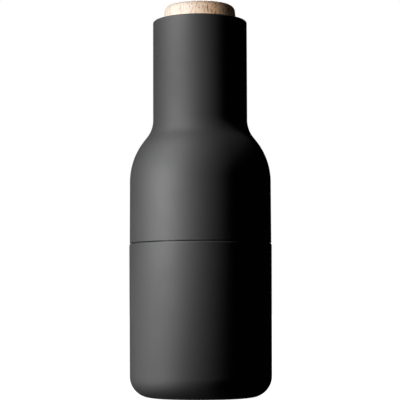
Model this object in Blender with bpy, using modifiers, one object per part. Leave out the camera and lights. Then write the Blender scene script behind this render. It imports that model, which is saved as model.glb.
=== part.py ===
"""A bottle-shaped pepper mill, modelled as the separate pieces it comes apart into.

It stands along +Z, with its origin at the centre of its foot. The lower half is a cup for the
peppercorns with a drive post in its middle. The upper half carries a ceramic mill in its neck,
under a beech lid. The lower half turns the shaft and the inner burr against the outer burr.

Every dimension below is in millimetres, and MM turns it into Blender's metres.
"""

import math
from collections import namedtuple

import bmesh
import bpy
from mathutils import Matrix, Vector

MM = 0.001

# Smoothness of the turned pieces
SHELL_STEPS = 48
INNER_STEPS = 36
SMALL_STEPS = 20
HOLE_SIDES = 12
SHARP_ANGLE = 35.0
MERGE_DISTANCE = 0.00002

# GAP is between pieces that touch on the real mill, and PAST is how far a cutter overshoots
GAP = 0.3
PAST = 1.0

# Whole mill
HEIGHT = 205.0
WALL = 2.2
EDGE_R = 0.4
SEAM_Z = 79.8
SEAM_GAP = 0.5

# Lower half
FOOT_PROUD = 0.3
LOWER_R = 37.1
LOWER_BASE_R = 36.8
LOWER_TOP_Z = SEAM_Z - SEAM_GAP / 2
LOWER_INNER_R = 35.0
BASE_CORNER_R = 10.95
PAD_RECESS_R = 22.0
PAD_RECESS_Z = 1.5
FLOOR_TOP_Z = 4.8
FLOOR_CORNER_R = 8.0
PAD_EDGE = 0.3
SCREW_SEAT_PLAY = 0.5

# Reservoir cup inside the lower half
CUP_OUTER_R = LOWER_INNER_R - GAP
CUP_WALL = 1.3
CUP_INNER_R = CUP_OUTER_R - CUP_WALL
CUP_BOTTOM_Z = FLOOR_TOP_Z + GAP
CUP_FLOOR_Z = CUP_BOTTOM_Z + CUP_WALL
CUP_TOP_Z = LOWER_TOP_Z - 0.6
CUP_LIP = 0.6

# Drive post in the middle of the cup
POST_FLANGE_R = 12.5
POST_BOTTOM_Z = CUP_FLOOR_Z + GAP
POST_FLANGE_Z = 14.5
POST_CONE_Z = 19.0
POST_R = 6.0
POST_TOP_R = 5.5
POST_TOP_Z = 66.0
POST_CHAMFER = 0.8
POST_PILOT_Z = 13.3
SOCKET_DEPTH = 18.0
SOCKET_FLATS = 6.6

# Upper half
UPPER_BOTTOM_Z = SEAM_Z + SEAM_GAP / 2
UPPER_SEAM_R = 36.88
UPPER_INNER_R = 34.8
SHOULDER_Z = 111.95
SHOULDER_R = 36.8
SHOULDER_ARC_R = 34.35
SHOULDER_ANGLE = 38.0
NECK_ARC_R = 15.5
NECK_FOOT_R = 24.67
NECK_TOP_R = 24.69
NECK_TOP_Z = 196.55
RIM_R = 0.95
RIM_THICKNESS = 2.5
NECK_BORE_R = 22.3
MOUTH_R = 19.65
TAB_POCKET_R = 23.2
TAB_POCKET_Z = (166.0, 169.0)

# Collar that joins the two halves
COLLAR_UPPER_R = UPPER_INNER_R - GAP
COLLAR_LOWER_R = 33.0
COLLAR_INNER_R = 30.8
COLLAR_TOP_Z = 88.0
COLLAR_STEP_Z = CUP_TOP_Z + GAP
COLLAR_BOTTOM_Z = 68.2
COLLAR_CHAMFER = 0.7
COLLAR_RIM = 0.8
COLLAR_FUNNEL = 3.5
SEAL_Z = 73.3
SEAL_WIRE_R = 0.5
SEAL_RING_R = 32.6
SEAL_GROOVE_DEPTH = 1.2
SEAL_GROOVE_PLAY = 0.4

# Mill housing in the neck
HOUSING_R = NECK_BORE_R - GAP
HOUSING_TOP_Z = NECK_TOP_Z - RIM_THICKNESS - GAP
HOUSING_BOTTOM_Z = 163.6
POCKET_R = 19.2
DECK_Z = 187.0
DECK_THICKNESS = 1.8
OUTLET_R = 14.7
OUTLET_CHAMFER = 0.5
BURR_SEAT_R = 17.4
TAB_R = 22.8
TAB_WIDTH = 5.0
TAB_ROOT = 2.0
HOUSING_PILOT_Z = 172.0
TAB_ANGLES = (30.0, 150.0, 270.0)

# Burrs: (height, crest radius, tooth depth) from the feed end up to the outlet
BURR_GAP = 0.45
INNER_BURR_RINGS = (
    (166.0, 7.6, 0.5),
    (166.8, 8.1, 1.0),
    (171.0, 9.1, 1.5),
    (175.0, 10.2, 1.3),
    (179.0, 11.5, 0.7),
    (183.2, 12.85, 0.4),
    (184.4, 13.2, 0.3),
)
OUTER_BURR_RINGS = (
    (165.6, 14.6, 0.9),
    (169.0, 13.6, 1.6),
    (175.0, 10.2 + BURR_GAP, 1.6),
    (179.0, 11.5 + BURR_GAP, 0.9),
    (184.9, 13.36 + BURR_GAP, 0.4),
)
INNER_BURR_TEETH = 12
OUTER_BURR_TEETH = 18
INNER_BURR_TWIST = 42.0
OUTER_BURR_TWIST = -18.0
INNER_TOOTH_SHAPE = (0.0, 0.15, 0.7, 1.0, 0.6)
OUTER_TOOTH_SHAPE = (0.0, 0.7, 1.0, 0.4)
OUTER_BURR_R = BURR_SEAT_R - GAP
BURR_LUG_R = 18.3
BURR_LUG_WIDTH = 3.0
BURR_LUG_TOP_Z = 171.0
BURR_LUG_ROOT = 1.2
BURR_BORE_FLATS = 6.6
SPRING_POCKET_R = 5.9
SPRING_POCKET_Z = 172.0

# Bearing bridge under the burrs
BRIDGE_RING_INNER_R = 15.6
BRIDGE_Z = (157.6, 163.3)
BRIDGE_LIP_Z = 165.3
BRIDGE_HUB_R = 7.5
BRIDGE_HUB_Z = (154.6, 160.6)
BRIDGE_BORE_R = 5.2
BRIDGE_ARM_WIDTH = 4.0
BRIDGE_ARM_Z = (156.0, 160.0)
BRIDGE_CHAMFER = 1.2

# Drive shaft and what sits on it
SHAFT_FLATS = 6.0
SHAFT_BOTTOM_Z = 49.5
SHAFT_HEX_TOP_Z = 182.0
SHAFT_THREAD_R = 2.4
SHAFT_TOP_Z = 188.4
THREAD_ROOT = 2.0
THREAD_CHAMFER = 0.4
CLIP_Z = (151.9, 152.7)
CLIP_GROOVE_R = 2.5
CLIP_R = 6.0
CLIP_MOUTH = 3.6
CLIP_PLAY = 0.2
THRUST_WASHER_Z = (153.0, 153.8)
BUSH_BORE_R = 3.8
BUSH_R = BRIDGE_BORE_R - GAP
BUSH_FLANGE_R = 6.6
BUSH_Z = (154.1, 161.7)
SPRING_SEAT_Z = (162.0, 162.6)
SPRING_Z = (162.9, 171.6)
SPRING_COIL_R = 4.85
SPRING_WIRE_R = 0.5
SPRING_TURNS = 5.0
SPRING_DEAD_TURNS = 0.8
SPRING_CLOSE_GAP = 0.25

# Grind adjuster: the burr and its dial travel this far up and down from rest
BURR_TRAVEL = 0.6
ADJUST_WASHER_Z = (184.7, 185.3)
ADJUST_WASHER_R = 5.6
DIAL_Z = (185.6, 189.6)
DIAL_R = 10.0
DIAL_EDGE = 0.5
DIAL_LOBES = 16
DIAL_LOBE_DEPTH = 0.5
DIAL_END_LOBE_DEPTH = 0.2
DIAL_LOBE_SHAPE = (0.0, 0.45, 1.0, 0.45)
GRIP_SIZE = (15.0, 4.4, 1.6)
GRIP_EDGE_R = 0.6
POINTER_SIZE = (2.6, 1.0, 1.0)
POINTER_R = 8.6
POINTER_ANGLE = 90.0
NUT_FLATS = 8.0
NUT_Z = (185.8, 188.5)
NUT_BORE_R = 2.75

# Lid
LID_R = 19.3
LID_TOP_R = 18.55
LID_EDGE_R = 3.15
LID_BOTTOM_Z = HOUSING_TOP_Z + GAP
PLUG_R = 18.4
PLUG_INNER_R = 15.4
PLUG_Z = (187.35, LID_BOTTOM_Z - GAP)
PLUG_PLATE_Z = 192.3
PLUG_EDGE = 0.6
PLUG_SEAL_Z = 190.2
PLUG_SEAL_RING_R = 18.25
PLUG_SEAL_WIRE_R = 0.6

# Screws stand on a circle with their heads down, from the head's seat up to the tip
Screws = namedtuple("Screws", "head_r head_height shank_r seat_z tip_z circle_r angles")
BASE_SCREWS = Screws(2.7, 1.4, 1.25, 3.0, 12.8, 8.8, (90.0, 210.0, 330.0))
BRIDGE_SCREWS = Screws(2.0, 1.3, 1.1, BRIDGE_Z[0] - GAP, 171.0, 19.7, (90.0, 210.0, 330.0))
LID_SCREWS = Screws(1.8, 1.2, 0.9, PLUG_PLATE_Z - GAP, 200.0, 12.0, TAB_ANGLES)
SCREW_POINT = 1.4
SCREW_HEAD_EDGE = 0.5
SCREW_RECESS_SHARE = 0.6

# Name: (colour, roughness, metallic)
FINISHES = {
    "soft_touch_black": ((0.045, 0.046, 0.048), 0.55, 0.0),
    "beech": ((0.78, 0.60, 0.42), 0.55, 0.0),
    "black_nylon": ((0.02, 0.02, 0.021), 0.45, 0.0),
    "smoke_plastic": ((0.11, 0.11, 0.115), 0.35, 0.0),
    "ceramic_white": ((0.86, 0.84, 0.79), 0.3, 0.0),
    "silicone": ((0.03, 0.03, 0.03), 0.7, 0.0),
    "acetal_white": ((0.8, 0.79, 0.76), 0.4, 0.0),
    "steel": ((0.62, 0.62, 0.63), 0.28, 1.0),
    "aluminium": ((0.75, 0.75, 0.76), 0.32, 1.0),
}


# ---------------------------------------------------------------- building blocks


def clear_scene():
    for obj in list(bpy.data.objects):
        bpy.data.objects.remove(obj)


def new_collection(name):
    collection = bpy.data.collections.new(name)
    bpy.context.scene.collection.children.link(collection)
    return collection


def make_materials():
    made = {}
    for name, (colour, roughness, metallic) in FINISHES.items():
        material = bpy.data.materials.new(name)
        material.use_nodes = True
        shader = material.node_tree.nodes["Principled BSDF"]
        shader.inputs["Base Color"].default_value = (*colour, 1.0)
        shader.inputs["Roughness"].default_value = roughness
        shader.inputs["Metallic"].default_value = metallic
        made[name] = material
    return made


def arc(centre_r, centre_z, radius, start, end, segments):
    """Points of an arc in the (radius, height) plane, by angles in degrees from outwards."""
    points = []
    for i in range(segments + 1):
        angle = math.radians(start + (end - start) * i / segments)
        points.append((centre_r + radius * math.cos(angle), centre_z + radius * math.sin(angle)))
    return points


def around(radius, angle):
    """The point at this radius and angle, in degrees, in the XY plane."""
    turn = math.radians(angle)
    return radius * math.cos(turn), radius * math.sin(turn)


def add_object(name, mesh, collection):
    obj = bpy.data.objects.new(name, mesh)
    collection.objects.link(obj)
    return obj


def finish_mesh(obj):
    """Replaces the object's modifiers by their result, shaded smooth between its real edges."""
    bpy.context.view_layer.update()
    evaluated = obj.evaluated_get(bpy.context.evaluated_depsgraph_get())
    mesh = bpy.data.meshes.new_from_object(evaluated)
    mesh.name = obj.name
    obj.modifiers.clear()
    obj.data = mesh
    mesh.shade_smooth()
    mesh.set_sharp_from_angle(angle=math.radians(SHARP_ANGLE))
    return obj


def turned(name, outline, collection, steps=INNER_STEPS, closed=True):
    """Turns an outline of (radius, height) points, which runs down its outer side, about Z.

    A closed outline makes a ring. An open one starts and ends on the axis.
    """
    count = len(outline)
    edges = [(i, (i + 1) % count) for i in range(count if closed else count - 1)]
    mesh = bpy.data.meshes.new(name)
    mesh.from_pydata([(r * MM, 0.0, z * MM) for r, z in outline], edges, [])
    obj = add_object(name, mesh, collection)
    screw = obj.modifiers.new("turn", "SCREW")
    screw.axis = "Z"
    screw.angle = math.tau
    screw.steps = steps
    screw.render_steps = steps
    screw.use_merge_vertices = True
    screw.merge_threshold = MERGE_DISTANCE
    screw.use_smooth_shade = True
    return finish_mesh(obj)


def cylinder(name, radius, low, high, collection, sides=SMALL_STEPS, centre=(0.0, 0.0)):
    """An upright cylinder or regular prism between two heights."""
    mesh = bpy.data.meshes.new(name)
    shape = bmesh.new()
    middle = Vector((centre[0], centre[1], (low + high) / 2)) * MM
    bmesh.ops.create_cone(
        shape,
        cap_ends=True,
        segments=sides,
        radius1=radius * MM,
        radius2=radius * MM,
        depth=(high - low) * MM,
        matrix=Matrix.Translation(middle),
    )
    shape.to_mesh(mesh)
    shape.free()
    return add_object(name, mesh, collection)


def hexagon(name, flats, low, high, collection):
    """An upright hexagonal prism with this distance between its flats."""
    return cylinder(name, flats / math.sqrt(3), low, high, collection, sides=6)


def block(name, size, centre, angle, collection):
    """A box of this size, turned about Z by an angle in degrees round the mill's axis."""
    mesh = bpy.data.meshes.new(name)
    shape = bmesh.new()
    place = Matrix.Translation(Vector(centre) * MM)
    stretch = Matrix.Diagonal((*[side * MM for side in size], 1.0))
    turn = Matrix.Rotation(math.radians(angle), 4, "Z")
    bmesh.ops.create_cube(shape, size=1.0, matrix=turn @ place @ stretch)
    shape.to_mesh(mesh)
    shape.free()
    return add_object(name, mesh, collection)


def radial_blocks(name, inner_r, outer_r, width, heights, tools):
    """Three boxes that point outwards, at the angles of the housing's tabs."""
    low, high = heights
    size = (outer_r - inner_r, width, high - low)
    centre = ((inner_r + outer_r) / 2, 0.0, (low + high) / 2)
    return [
        block(f"{name}_{i}", size, centre, angle, tools) for i, angle in enumerate(TAB_ANGLES, 1)
    ]


def toothed(name, rings, teeth, tooth_shape, twist, outward, collection):
    """A closed body through rings of (height, crest radius, tooth depth), twisted as it rises.

    tooth_shape gives the share of the depth at each point of one tooth. The valleys lie inside
    the crest radius, or outside it when outward is true.
    """
    side = 1 if outward else -1
    per_ring = teeth * len(tooth_shape)
    low, high = rings[0][0], rings[-1][0]
    shape = bmesh.new()
    loops = []
    for height, crest, depth in rings:
        turn = math.radians(twist) * (height - low) / (high - low)
        loop = []
        for i in range(per_ring):
            radius = crest + side * depth * tooth_shape[i % len(tooth_shape)]
            angle = math.tau * i / per_ring + turn
            point = (radius * math.cos(angle) * MM, radius * math.sin(angle) * MM, height * MM)
            loop.append(shape.verts.new(point))
        loops.append(loop)
    for lower, upper in zip(loops, loops[1:]):
        for i in range(per_ring):
            j = (i + 1) % per_ring
            shape.faces.new((lower[i], lower[j], upper[j], upper[i]))
    shape.faces.new(reversed(loops[0]))
    shape.faces.new(loops[-1])
    mesh = bpy.data.meshes.new(name)
    shape.to_mesh(mesh)
    shape.free()
    return add_object(name, mesh, collection)


def combine(obj, operation, others):
    """Cuts the others from the object, or joins them to it, and puts them away."""
    for other in others:
        modifier = obj.modifiers.new(f"{operation.lower()} {other.name}", "BOOLEAN")
        modifier.operation = operation
        modifier.solver = "EXACT"
        modifier.object = other
        other.hide_render = True
        other.display_type = "WIRE"
    return finish_mesh(obj)


def cut(obj, *others):
    return combine(obj, "DIFFERENCE", others)


def join(obj, *others):
    return combine(obj, "UNION", others)


def holes(name, screws, low, high, tools, play=GAP):
    """A cutter round each screw's shank, with this much play, between two heights."""
    radius = screws.shank_r + play
    return [
        cylinder(f"{name}_{i}", radius, low, high, tools, HOLE_SIDES, around(screws.circle_r, angle))
        for i, angle in enumerate(screws.angles, 1)
    ]


def washer(name, inner_r, outer_r, heights, parts, steps=SMALL_STEPS):
    low, high = heights
    outline = [(outer_r, high), (outer_r, low), (inner_r, low), (inner_r, high)]
    return turned(name, outline, parts, steps)


def screw_set(name, screws, parts, tools):
    """Pan-head screws with a six-sided recess."""
    head_z = screws.seat_z - screws.head_height
    outline = [
        (0.0, screws.tip_z),
        (screws.shank_r / 4, screws.tip_z),
        (screws.shank_r, screws.tip_z - SCREW_POINT),
        (screws.shank_r, screws.seat_z),
        (screws.head_r, screws.seat_z),
        (screws.head_r, head_z + SCREW_HEAD_EDGE),
        (screws.head_r - SCREW_HEAD_EDGE, head_z),
        (0.0, head_z),
    ]
    first = turned(f"{name}_1", outline, parts, HOLE_SIDES, closed=False)
    recess_top = head_z + screws.head_height * SCREW_RECESS_SHARE
    cut(first, hexagon(f"{name}_recess", screws.head_r, head_z - PAST, recess_top, tools))
    copies = [add_object(f"{name}_{i}", first.data, parts) for i in (2, 3)]
    for obj, angle in zip([first, *copies], screws.angles):
        x, y = around(screws.circle_r, angle)
        obj.location = (x * MM, y * MM, 0.0)


# ---------------------------------------------------------------- outlines of the two halves


def lower_outside():
    """The cup's outer side, from its top edge down to the flat base."""
    top = arc(LOWER_R - EDGE_R, LOWER_TOP_Z - EDGE_R, EDGE_R, 90, 0, 2)
    base_z = FOOT_PROUD + BASE_CORNER_R
    return top + arc(LOWER_BASE_R - BASE_CORNER_R, base_z, BASE_CORNER_R, 0, -90, 6)


def shoulder_centres():
    """Centres of the shoulder's and the neck's arcs, which a short straight slope joins."""
    turn = math.radians(SHOULDER_ANGLE)
    drop = (SHOULDER_ARC_R + NECK_ARC_R) * (1 - math.cos(turn))
    slope = (SHOULDER_R - NECK_FOOT_R - drop) / math.sin(turn)
    rise = (SHOULDER_ARC_R + NECK_ARC_R) * math.sin(turn) + slope * math.cos(turn)
    return (SHOULDER_R - SHOULDER_ARC_R, SHOULDER_Z), (NECK_FOOT_R + NECK_ARC_R, SHOULDER_Z + rise)


def shoulder(inset, neck_segments, shoulder_segments):
    """The stretch from the foot of the neck down to the straight wall, this far inside."""
    (low_r, low_z), (high_r, high_z) = shoulder_centres()
    neck_end = 180 + SHOULDER_ANGLE
    neck = arc(high_r, high_z, NECK_ARC_R + inset, 180, neck_end, neck_segments)
    body = arc(low_r, low_z, SHOULDER_ARC_R - inset, SHOULDER_ANGLE, 0, shoulder_segments)
    return neck + body


# ---------------------------------------------------------------- the lower half


def build_lower_shell(parts, tools):
    corner_z = FLOOR_TOP_Z + FLOOR_CORNER_R
    corner_r = LOWER_INNER_R - FLOOR_CORNER_R
    outline = lower_outside()
    outline += [(PAD_RECESS_R, FOOT_PROUD), (PAD_RECESS_R, PAD_RECESS_Z), (0.0, PAD_RECESS_Z)]
    inside = [(0.0, FLOOR_TOP_Z)]
    inside += arc(corner_r, corner_z, FLOOR_CORNER_R, -90, 0, 3)
    inside += [(LOWER_INNER_R, LOWER_TOP_Z)]
    shell = turned("lower_shell", outline + inside, parts, SHELL_STEPS)
    below = PAD_RECESS_Z - PAST
    seat_play = BASE_SCREWS.head_r - BASE_SCREWS.shank_r + SCREW_SEAT_PLAY
    seat_z = BASE_SCREWS.seat_z + GAP
    seats = holes("base_seat", BASE_SCREWS, below, seat_z, tools, seat_play)
    through = holes("base_hole", BASE_SCREWS, below, FLOOR_TOP_Z + PAST, tools)
    cut(shell, *seats, *through)


def build_foot_pad(parts):
    radius, top = PAD_RECESS_R - GAP, PAD_RECESS_Z - GAP
    outline = [(0.0, top), (radius, top), (radius, PAD_EDGE), (radius - PAD_EDGE, 0.0), (0.0, 0.0)]
    turned("foot_pad", outline, parts, closed=False)


def build_reservoir_cup(parts, tools):
    centre_r = LOWER_INNER_R - FLOOR_CORNER_R
    centre_z = FLOOR_TOP_Z + FLOOR_CORNER_R
    outer_corner = FLOOR_CORNER_R - GAP
    outline = [(CUP_OUTER_R, CUP_TOP_Z)]
    outline += arc(centre_r, centre_z, outer_corner, 0, -90, 3)
    outline += [(0.0, CUP_BOTTOM_Z), (0.0, CUP_FLOOR_Z)]
    outline += arc(centre_r, centre_z, outer_corner - CUP_WALL, -90, 0, 3)
    outline += [(CUP_INNER_R, CUP_TOP_Z - CUP_LIP), (CUP_INNER_R + CUP_LIP, CUP_TOP_Z)]
    cup = turned("reservoir_cup", outline, parts)
    cut(cup, *holes("cup_hole", BASE_SCREWS, CUP_BOTTOM_Z - PAST, CUP_FLOOR_Z + PAST, tools))


def build_drive_post(parts, tools):
    outline = [
        (0.0, POST_TOP_Z),
        (POST_TOP_R - POST_CHAMFER, POST_TOP_Z),
        (POST_TOP_R, POST_TOP_Z - POST_CHAMFER),
        (POST_R, POST_CONE_Z),
        (POST_FLANGE_R, POST_FLANGE_Z),
        (POST_FLANGE_R, POST_BOTTOM_Z),
        (0.0, POST_BOTTOM_Z),
    ]
    post = turned("drive_post", outline, parts, steps=24, closed=False)
    socket_z = POST_TOP_Z - SOCKET_DEPTH
    socket = hexagon("socket", SOCKET_FLATS, socket_z, POST_TOP_Z + PAST, tools)
    pilots = holes("post_hole", BASE_SCREWS, POST_BOTTOM_Z - PAST, POST_PILOT_Z, tools)
    cut(post, socket, *pilots)


# ---------------------------------------------------------------- the upper half


def build_upper_shell(parts, tools):
    outline = [(MOUTH_R, NECK_TOP_Z - EDGE_R), (MOUTH_R + EDGE_R, NECK_TOP_Z)]
    outline += arc(NECK_TOP_R - RIM_R, NECK_TOP_Z - RIM_R, RIM_R, 90, 0, 2)
    outline += shoulder(0.0, 4, 5)
    outline += arc(UPPER_SEAM_R - EDGE_R, UPPER_BOTTOM_Z + EDGE_R, EDGE_R, 0, -90, 1)
    outline += [(UPPER_INNER_R, UPPER_BOTTOM_Z), (UPPER_INNER_R, SHOULDER_Z - PAST)]
    outline += shoulder(WALL, 2, 3)[-2::-1]
    outline += [
        (NECK_BORE_R, TAB_POCKET_Z[0]),
        (NECK_BORE_R, NECK_TOP_Z - RIM_THICKNESS),
        (MOUTH_R, NECK_TOP_Z - RIM_THICKNESS),
    ]
    shell = turned("upper_shell", outline, parts, SHELL_STEPS)
    pocket_width = TAB_WIDTH + 2 * GAP
    cut(shell, *radial_blocks("tab_pocket", MOUTH_R, TAB_POCKET_R, pocket_width, TAB_POCKET_Z, tools))


def build_coupling_collar(parts):
    groove = SEAL_WIRE_R + SEAL_GROOVE_PLAY
    outline = [
        (COLLAR_UPPER_R, COLLAR_TOP_Z),
        (COLLAR_UPPER_R, COLLAR_STEP_Z),
        (COLLAR_LOWER_R, COLLAR_STEP_Z),
        (COLLAR_LOWER_R, SEAL_Z + groove),
        (COLLAR_LOWER_R - SEAL_GROOVE_DEPTH, SEAL_Z + groove),
        (COLLAR_LOWER_R - SEAL_GROOVE_DEPTH, SEAL_Z - groove),
        (COLLAR_LOWER_R, SEAL_Z - groove),
        (COLLAR_LOWER_R, COLLAR_BOTTOM_Z + COLLAR_CHAMFER),
        (COLLAR_LOWER_R - COLLAR_CHAMFER, COLLAR_BOTTOM_Z),
        (COLLAR_INNER_R, COLLAR_BOTTOM_Z),
        (COLLAR_INNER_R, COLLAR_TOP_Z - COLLAR_FUNNEL),
        (COLLAR_UPPER_R - COLLAR_RIM, COLLAR_TOP_Z),
    ]
    turned("coupling_collar", outline, parts)


def build_ring(name, ring_r, wire_r, height, parts):
    """A round-section seal."""
    turned(name, arc(ring_r, height, wire_r, 90, -210, 5), parts)


def build_mill_housing(parts, tools):
    deck_low = DECK_Z - DECK_THICKNESS
    outline = [
        (POCKET_R, HOUSING_TOP_Z),
        (HOUSING_R, HOUSING_TOP_Z),
        (HOUSING_R, HOUSING_BOTTOM_Z),
        (BURR_SEAT_R, HOUSING_BOTTOM_Z),
        (BURR_SEAT_R, deck_low),
        (OUTLET_R, deck_low),
        (OUTLET_R, DECK_Z - OUTLET_CHAMFER),
        (OUTLET_R + OUTLET_CHAMFER, DECK_Z),
        (POCKET_R, DECK_Z),
    ]
    housing = turned("mill_housing", outline, parts)
    tab_z = (TAB_POCKET_Z[0] + GAP, TAB_POCKET_Z[1] - GAP)
    join(housing, *radial_blocks("tab", HOUSING_R - TAB_ROOT, TAB_R, TAB_WIDTH, tab_z, tools))
    slot_z = (HOUSING_BOTTOM_Z - PAST, BURR_LUG_TOP_Z + GAP)
    slot_width = BURR_LUG_WIDTH + 2 * GAP
    slots = radial_blocks("lug_slot", OUTLET_R, BURR_LUG_R + GAP, slot_width, slot_z, tools)
    pilot_z = (HOUSING_BOTTOM_Z - PAST, HOUSING_PILOT_Z)
    pilots = holes("housing_hole", BRIDGE_SCREWS, *pilot_z, tools)
    cut(housing, *slots, *pilots)


def build_burrs(parts, tools):
    low, high = OUTER_BURR_RINGS[0][0], OUTER_BURR_RINGS[-1][0]
    outer = cylinder("outer_burr", OUTER_BURR_R, low, high, parts, INNER_STEPS)
    lug_z = (low, BURR_LUG_TOP_Z)
    lug_root = OUTER_BURR_R - BURR_LUG_ROOT
    join(outer, *radial_blocks("lug", lug_root, BURR_LUG_R, BURR_LUG_WIDTH, lug_z, tools))
    below, above = OUTER_BURR_RINGS[0], OUTER_BURR_RINGS[-1]
    rings = [(low - PAST, *below[1:]), *OUTER_BURR_RINGS, (high + PAST, *above[1:])]
    throat = toothed(
        "throat", rings, OUTER_BURR_TEETH, OUTER_TOOTH_SHAPE, OUTER_BURR_TWIST, True, tools
    )
    cut(outer, throat)
    inner = toothed(
        "inner_burr",
        INNER_BURR_RINGS,
        INNER_BURR_TEETH,
        INNER_TOOTH_SHAPE,
        INNER_BURR_TWIST,
        False,
        parts,
    )
    below, above = INNER_BURR_RINGS[0][0] - PAST, INNER_BURR_RINGS[-1][0] + PAST
    bore = hexagon("burr_bore", BURR_BORE_FLATS, below, above, tools)
    pocket = cylinder("spring_pocket", SPRING_POCKET_R, below, SPRING_POCKET_Z, tools)
    cut(inner, bore, pocket)


def build_bearing_bridge(parts, tools):
    low, high = BRIDGE_Z
    outline = [
        (OUTER_BURR_R, BRIDGE_LIP_Z),
        (OUTER_BURR_R, high),
        (HOUSING_R, high),
        (HOUSING_R, low),
        (BRIDGE_RING_INNER_R + BRIDGE_CHAMFER, low),
        (BRIDGE_RING_INNER_R, low + BRIDGE_CHAMFER),
        (BRIDGE_RING_INNER_R, BRIDGE_LIP_Z),
    ]
    bridge = turned("bearing_bridge", outline, parts)
    hub = cylinder("bridge_hub", BRIDGE_HUB_R, *BRIDGE_HUB_Z, tools, 24)
    arm_ends = (BRIDGE_HUB_R - BRIDGE_CHAMFER, BRIDGE_RING_INNER_R + BRIDGE_CHAMFER)
    join(bridge, hub, *radial_blocks("arm", *arm_ends, BRIDGE_ARM_WIDTH, BRIDGE_ARM_Z, tools))
    below, above = BRIDGE_HUB_Z[0] - PAST, BRIDGE_LIP_Z + PAST
    bore = cylinder("bridge_bore", BRIDGE_BORE_R, below, above, tools)
    screws = holes("bridge_hole", BRIDGE_SCREWS, below, above, tools)
    cut(bridge, bore, *screws)


def build_shaft_bush(parts):
    low, high = BUSH_Z
    under_flange = BRIDGE_HUB_Z[1] + GAP
    outline = [
        (BUSH_FLANGE_R, high),
        (BUSH_FLANGE_R, under_flange),
        (BUSH_R, under_flange),
        (BUSH_R, low),
        (BUSH_BORE_R, low),
        (BUSH_BORE_R, high),
    ]
    turned("shaft_bush", outline, parts, SMALL_STEPS)


# ---------------------------------------------------------------- the drive train


def build_drive_shaft(parts, tools):
    shaft = hexagon("drive_shaft", SHAFT_FLATS, SHAFT_BOTTOM_Z, SHAFT_HEX_TOP_Z, parts)
    thread_outline = [
        (0.0, SHAFT_TOP_Z),
        (SHAFT_THREAD_R - THREAD_CHAMFER, SHAFT_TOP_Z),
        (SHAFT_THREAD_R, SHAFT_TOP_Z - THREAD_CHAMFER),
        (SHAFT_THREAD_R, SHAFT_HEX_TOP_Z - THREAD_ROOT),
        (0.0, SHAFT_HEX_TOP_Z - THREAD_ROOT),
    ]
    thread = turned("thread", thread_outline, tools, SMALL_STEPS, closed=False)
    join(shaft, thread)
    groove_z = (CLIP_Z[0] - CLIP_PLAY, CLIP_Z[1] + CLIP_PLAY)
    groove = washer("clip_groove", CLIP_GROOVE_R, SHAFT_FLATS, groove_z, tools)
    cut(shaft, groove)


def build_shaft_clip(parts, tools):
    low, high = CLIP_Z
    clip = washer("shaft_clip", CLIP_GROOVE_R + GAP, CLIP_R, CLIP_Z, parts)
    reach = CLIP_R + PAST
    slot_size = (reach, CLIP_MOUTH, high - low + PAST)
    slot = block("clip_slot", slot_size, (reach / 2, 0.0, (low + high) / 2), 0.0, tools)
    cut(clip, slot)


def spring_height(turns):
    """Height of the wire after this many turns: close coils at both ends, open ones between."""
    low, high = SPRING_Z[0] + SPRING_WIRE_R, SPRING_Z[1] - SPRING_WIRE_R
    close = SPRING_WIRE_R * 2 + SPRING_CLOSE_GAP
    dead = SPRING_DEAD_TURNS * close
    open_pitch = (high - low - 2 * dead) / (SPRING_TURNS - 2 * SPRING_DEAD_TURNS)
    if turns <= SPRING_DEAD_TURNS:
        return low + turns * close
    if turns >= SPRING_TURNS - SPRING_DEAD_TURNS:
        return high - (SPRING_TURNS - turns) * close
    return low + dead + (turns - SPRING_DEAD_TURNS) * open_pitch


def build_burr_spring(parts):
    per_turn = 12
    curve = bpy.data.curves.new("burr_spring", "CURVE")
    curve.dimensions = "3D"
    curve.bevel_depth = SPRING_WIRE_R * MM
    curve.bevel_resolution = 1
    curve.use_fill_caps = True
    wire = curve.splines.new("POLY")
    count = int(SPRING_TURNS * per_turn) + 1
    wire.points.add(count - 1)
    for i, point in enumerate(wire.points):
        turns = i / per_turn
        x, y = around(SPRING_COIL_R, 360.0 * turns)
        point.co = (x * MM, y * MM, spring_height(turns) * MM, 1.0)
    add_object("burr_spring", curve, parts)


# ---------------------------------------------------------------- the grind adjuster


def build_adjusting_dial(parts, tools):
    low, high = DIAL_Z
    rings = [
        (low, DIAL_R - DIAL_EDGE, DIAL_END_LOBE_DEPTH),
        (low + DIAL_EDGE, DIAL_R, DIAL_LOBE_DEPTH),
        (high - DIAL_EDGE, DIAL_R, DIAL_LOBE_DEPTH),
        (high, DIAL_R - DIAL_EDGE, DIAL_END_LOBE_DEPTH),
    ]
    dial = toothed("adjusting_dial", rings, DIAL_LOBES, DIAL_LOBE_SHAPE, 0.0, False, parts)
    length, width, height = GRIP_SIZE
    grip_centre = (0.0, 0.0, high + (height - PAST) / 2)
    grip = block("grip", (length, width, height + PAST), grip_centre, 0.0, tools)
    bevel = grip.modifiers.new("rounded", "BEVEL")
    bevel.width = GRIP_EDGE_R * MM
    bevel.segments = 2
    finish_mesh(grip)
    join(dial, grip)
    pocket = hexagon("nut_pocket", NUT_FLATS + 2 * GAP, low - PAST, NUT_Z[1] + GAP, tools)
    hole_top = SHAFT_TOP_Z + BURR_TRAVEL + GAP
    hole = cylinder("thread_hole", SHAFT_THREAD_R + GAP, low - PAST, hole_top, tools)
    pointer = block("pointer", POINTER_SIZE, (POINTER_R, 0.0, high), POINTER_ANGLE, tools)
    cut(dial, pocket, hole, pointer)


def build_dial_nut(parts, tools):
    nut = hexagon("dial_nut", NUT_FLATS, *NUT_Z, parts)
    cut(nut, cylinder("nut_bore", NUT_BORE_R, NUT_Z[0] - PAST, NUT_Z[1] + PAST, tools))


# ---------------------------------------------------------------- the lid


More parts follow.
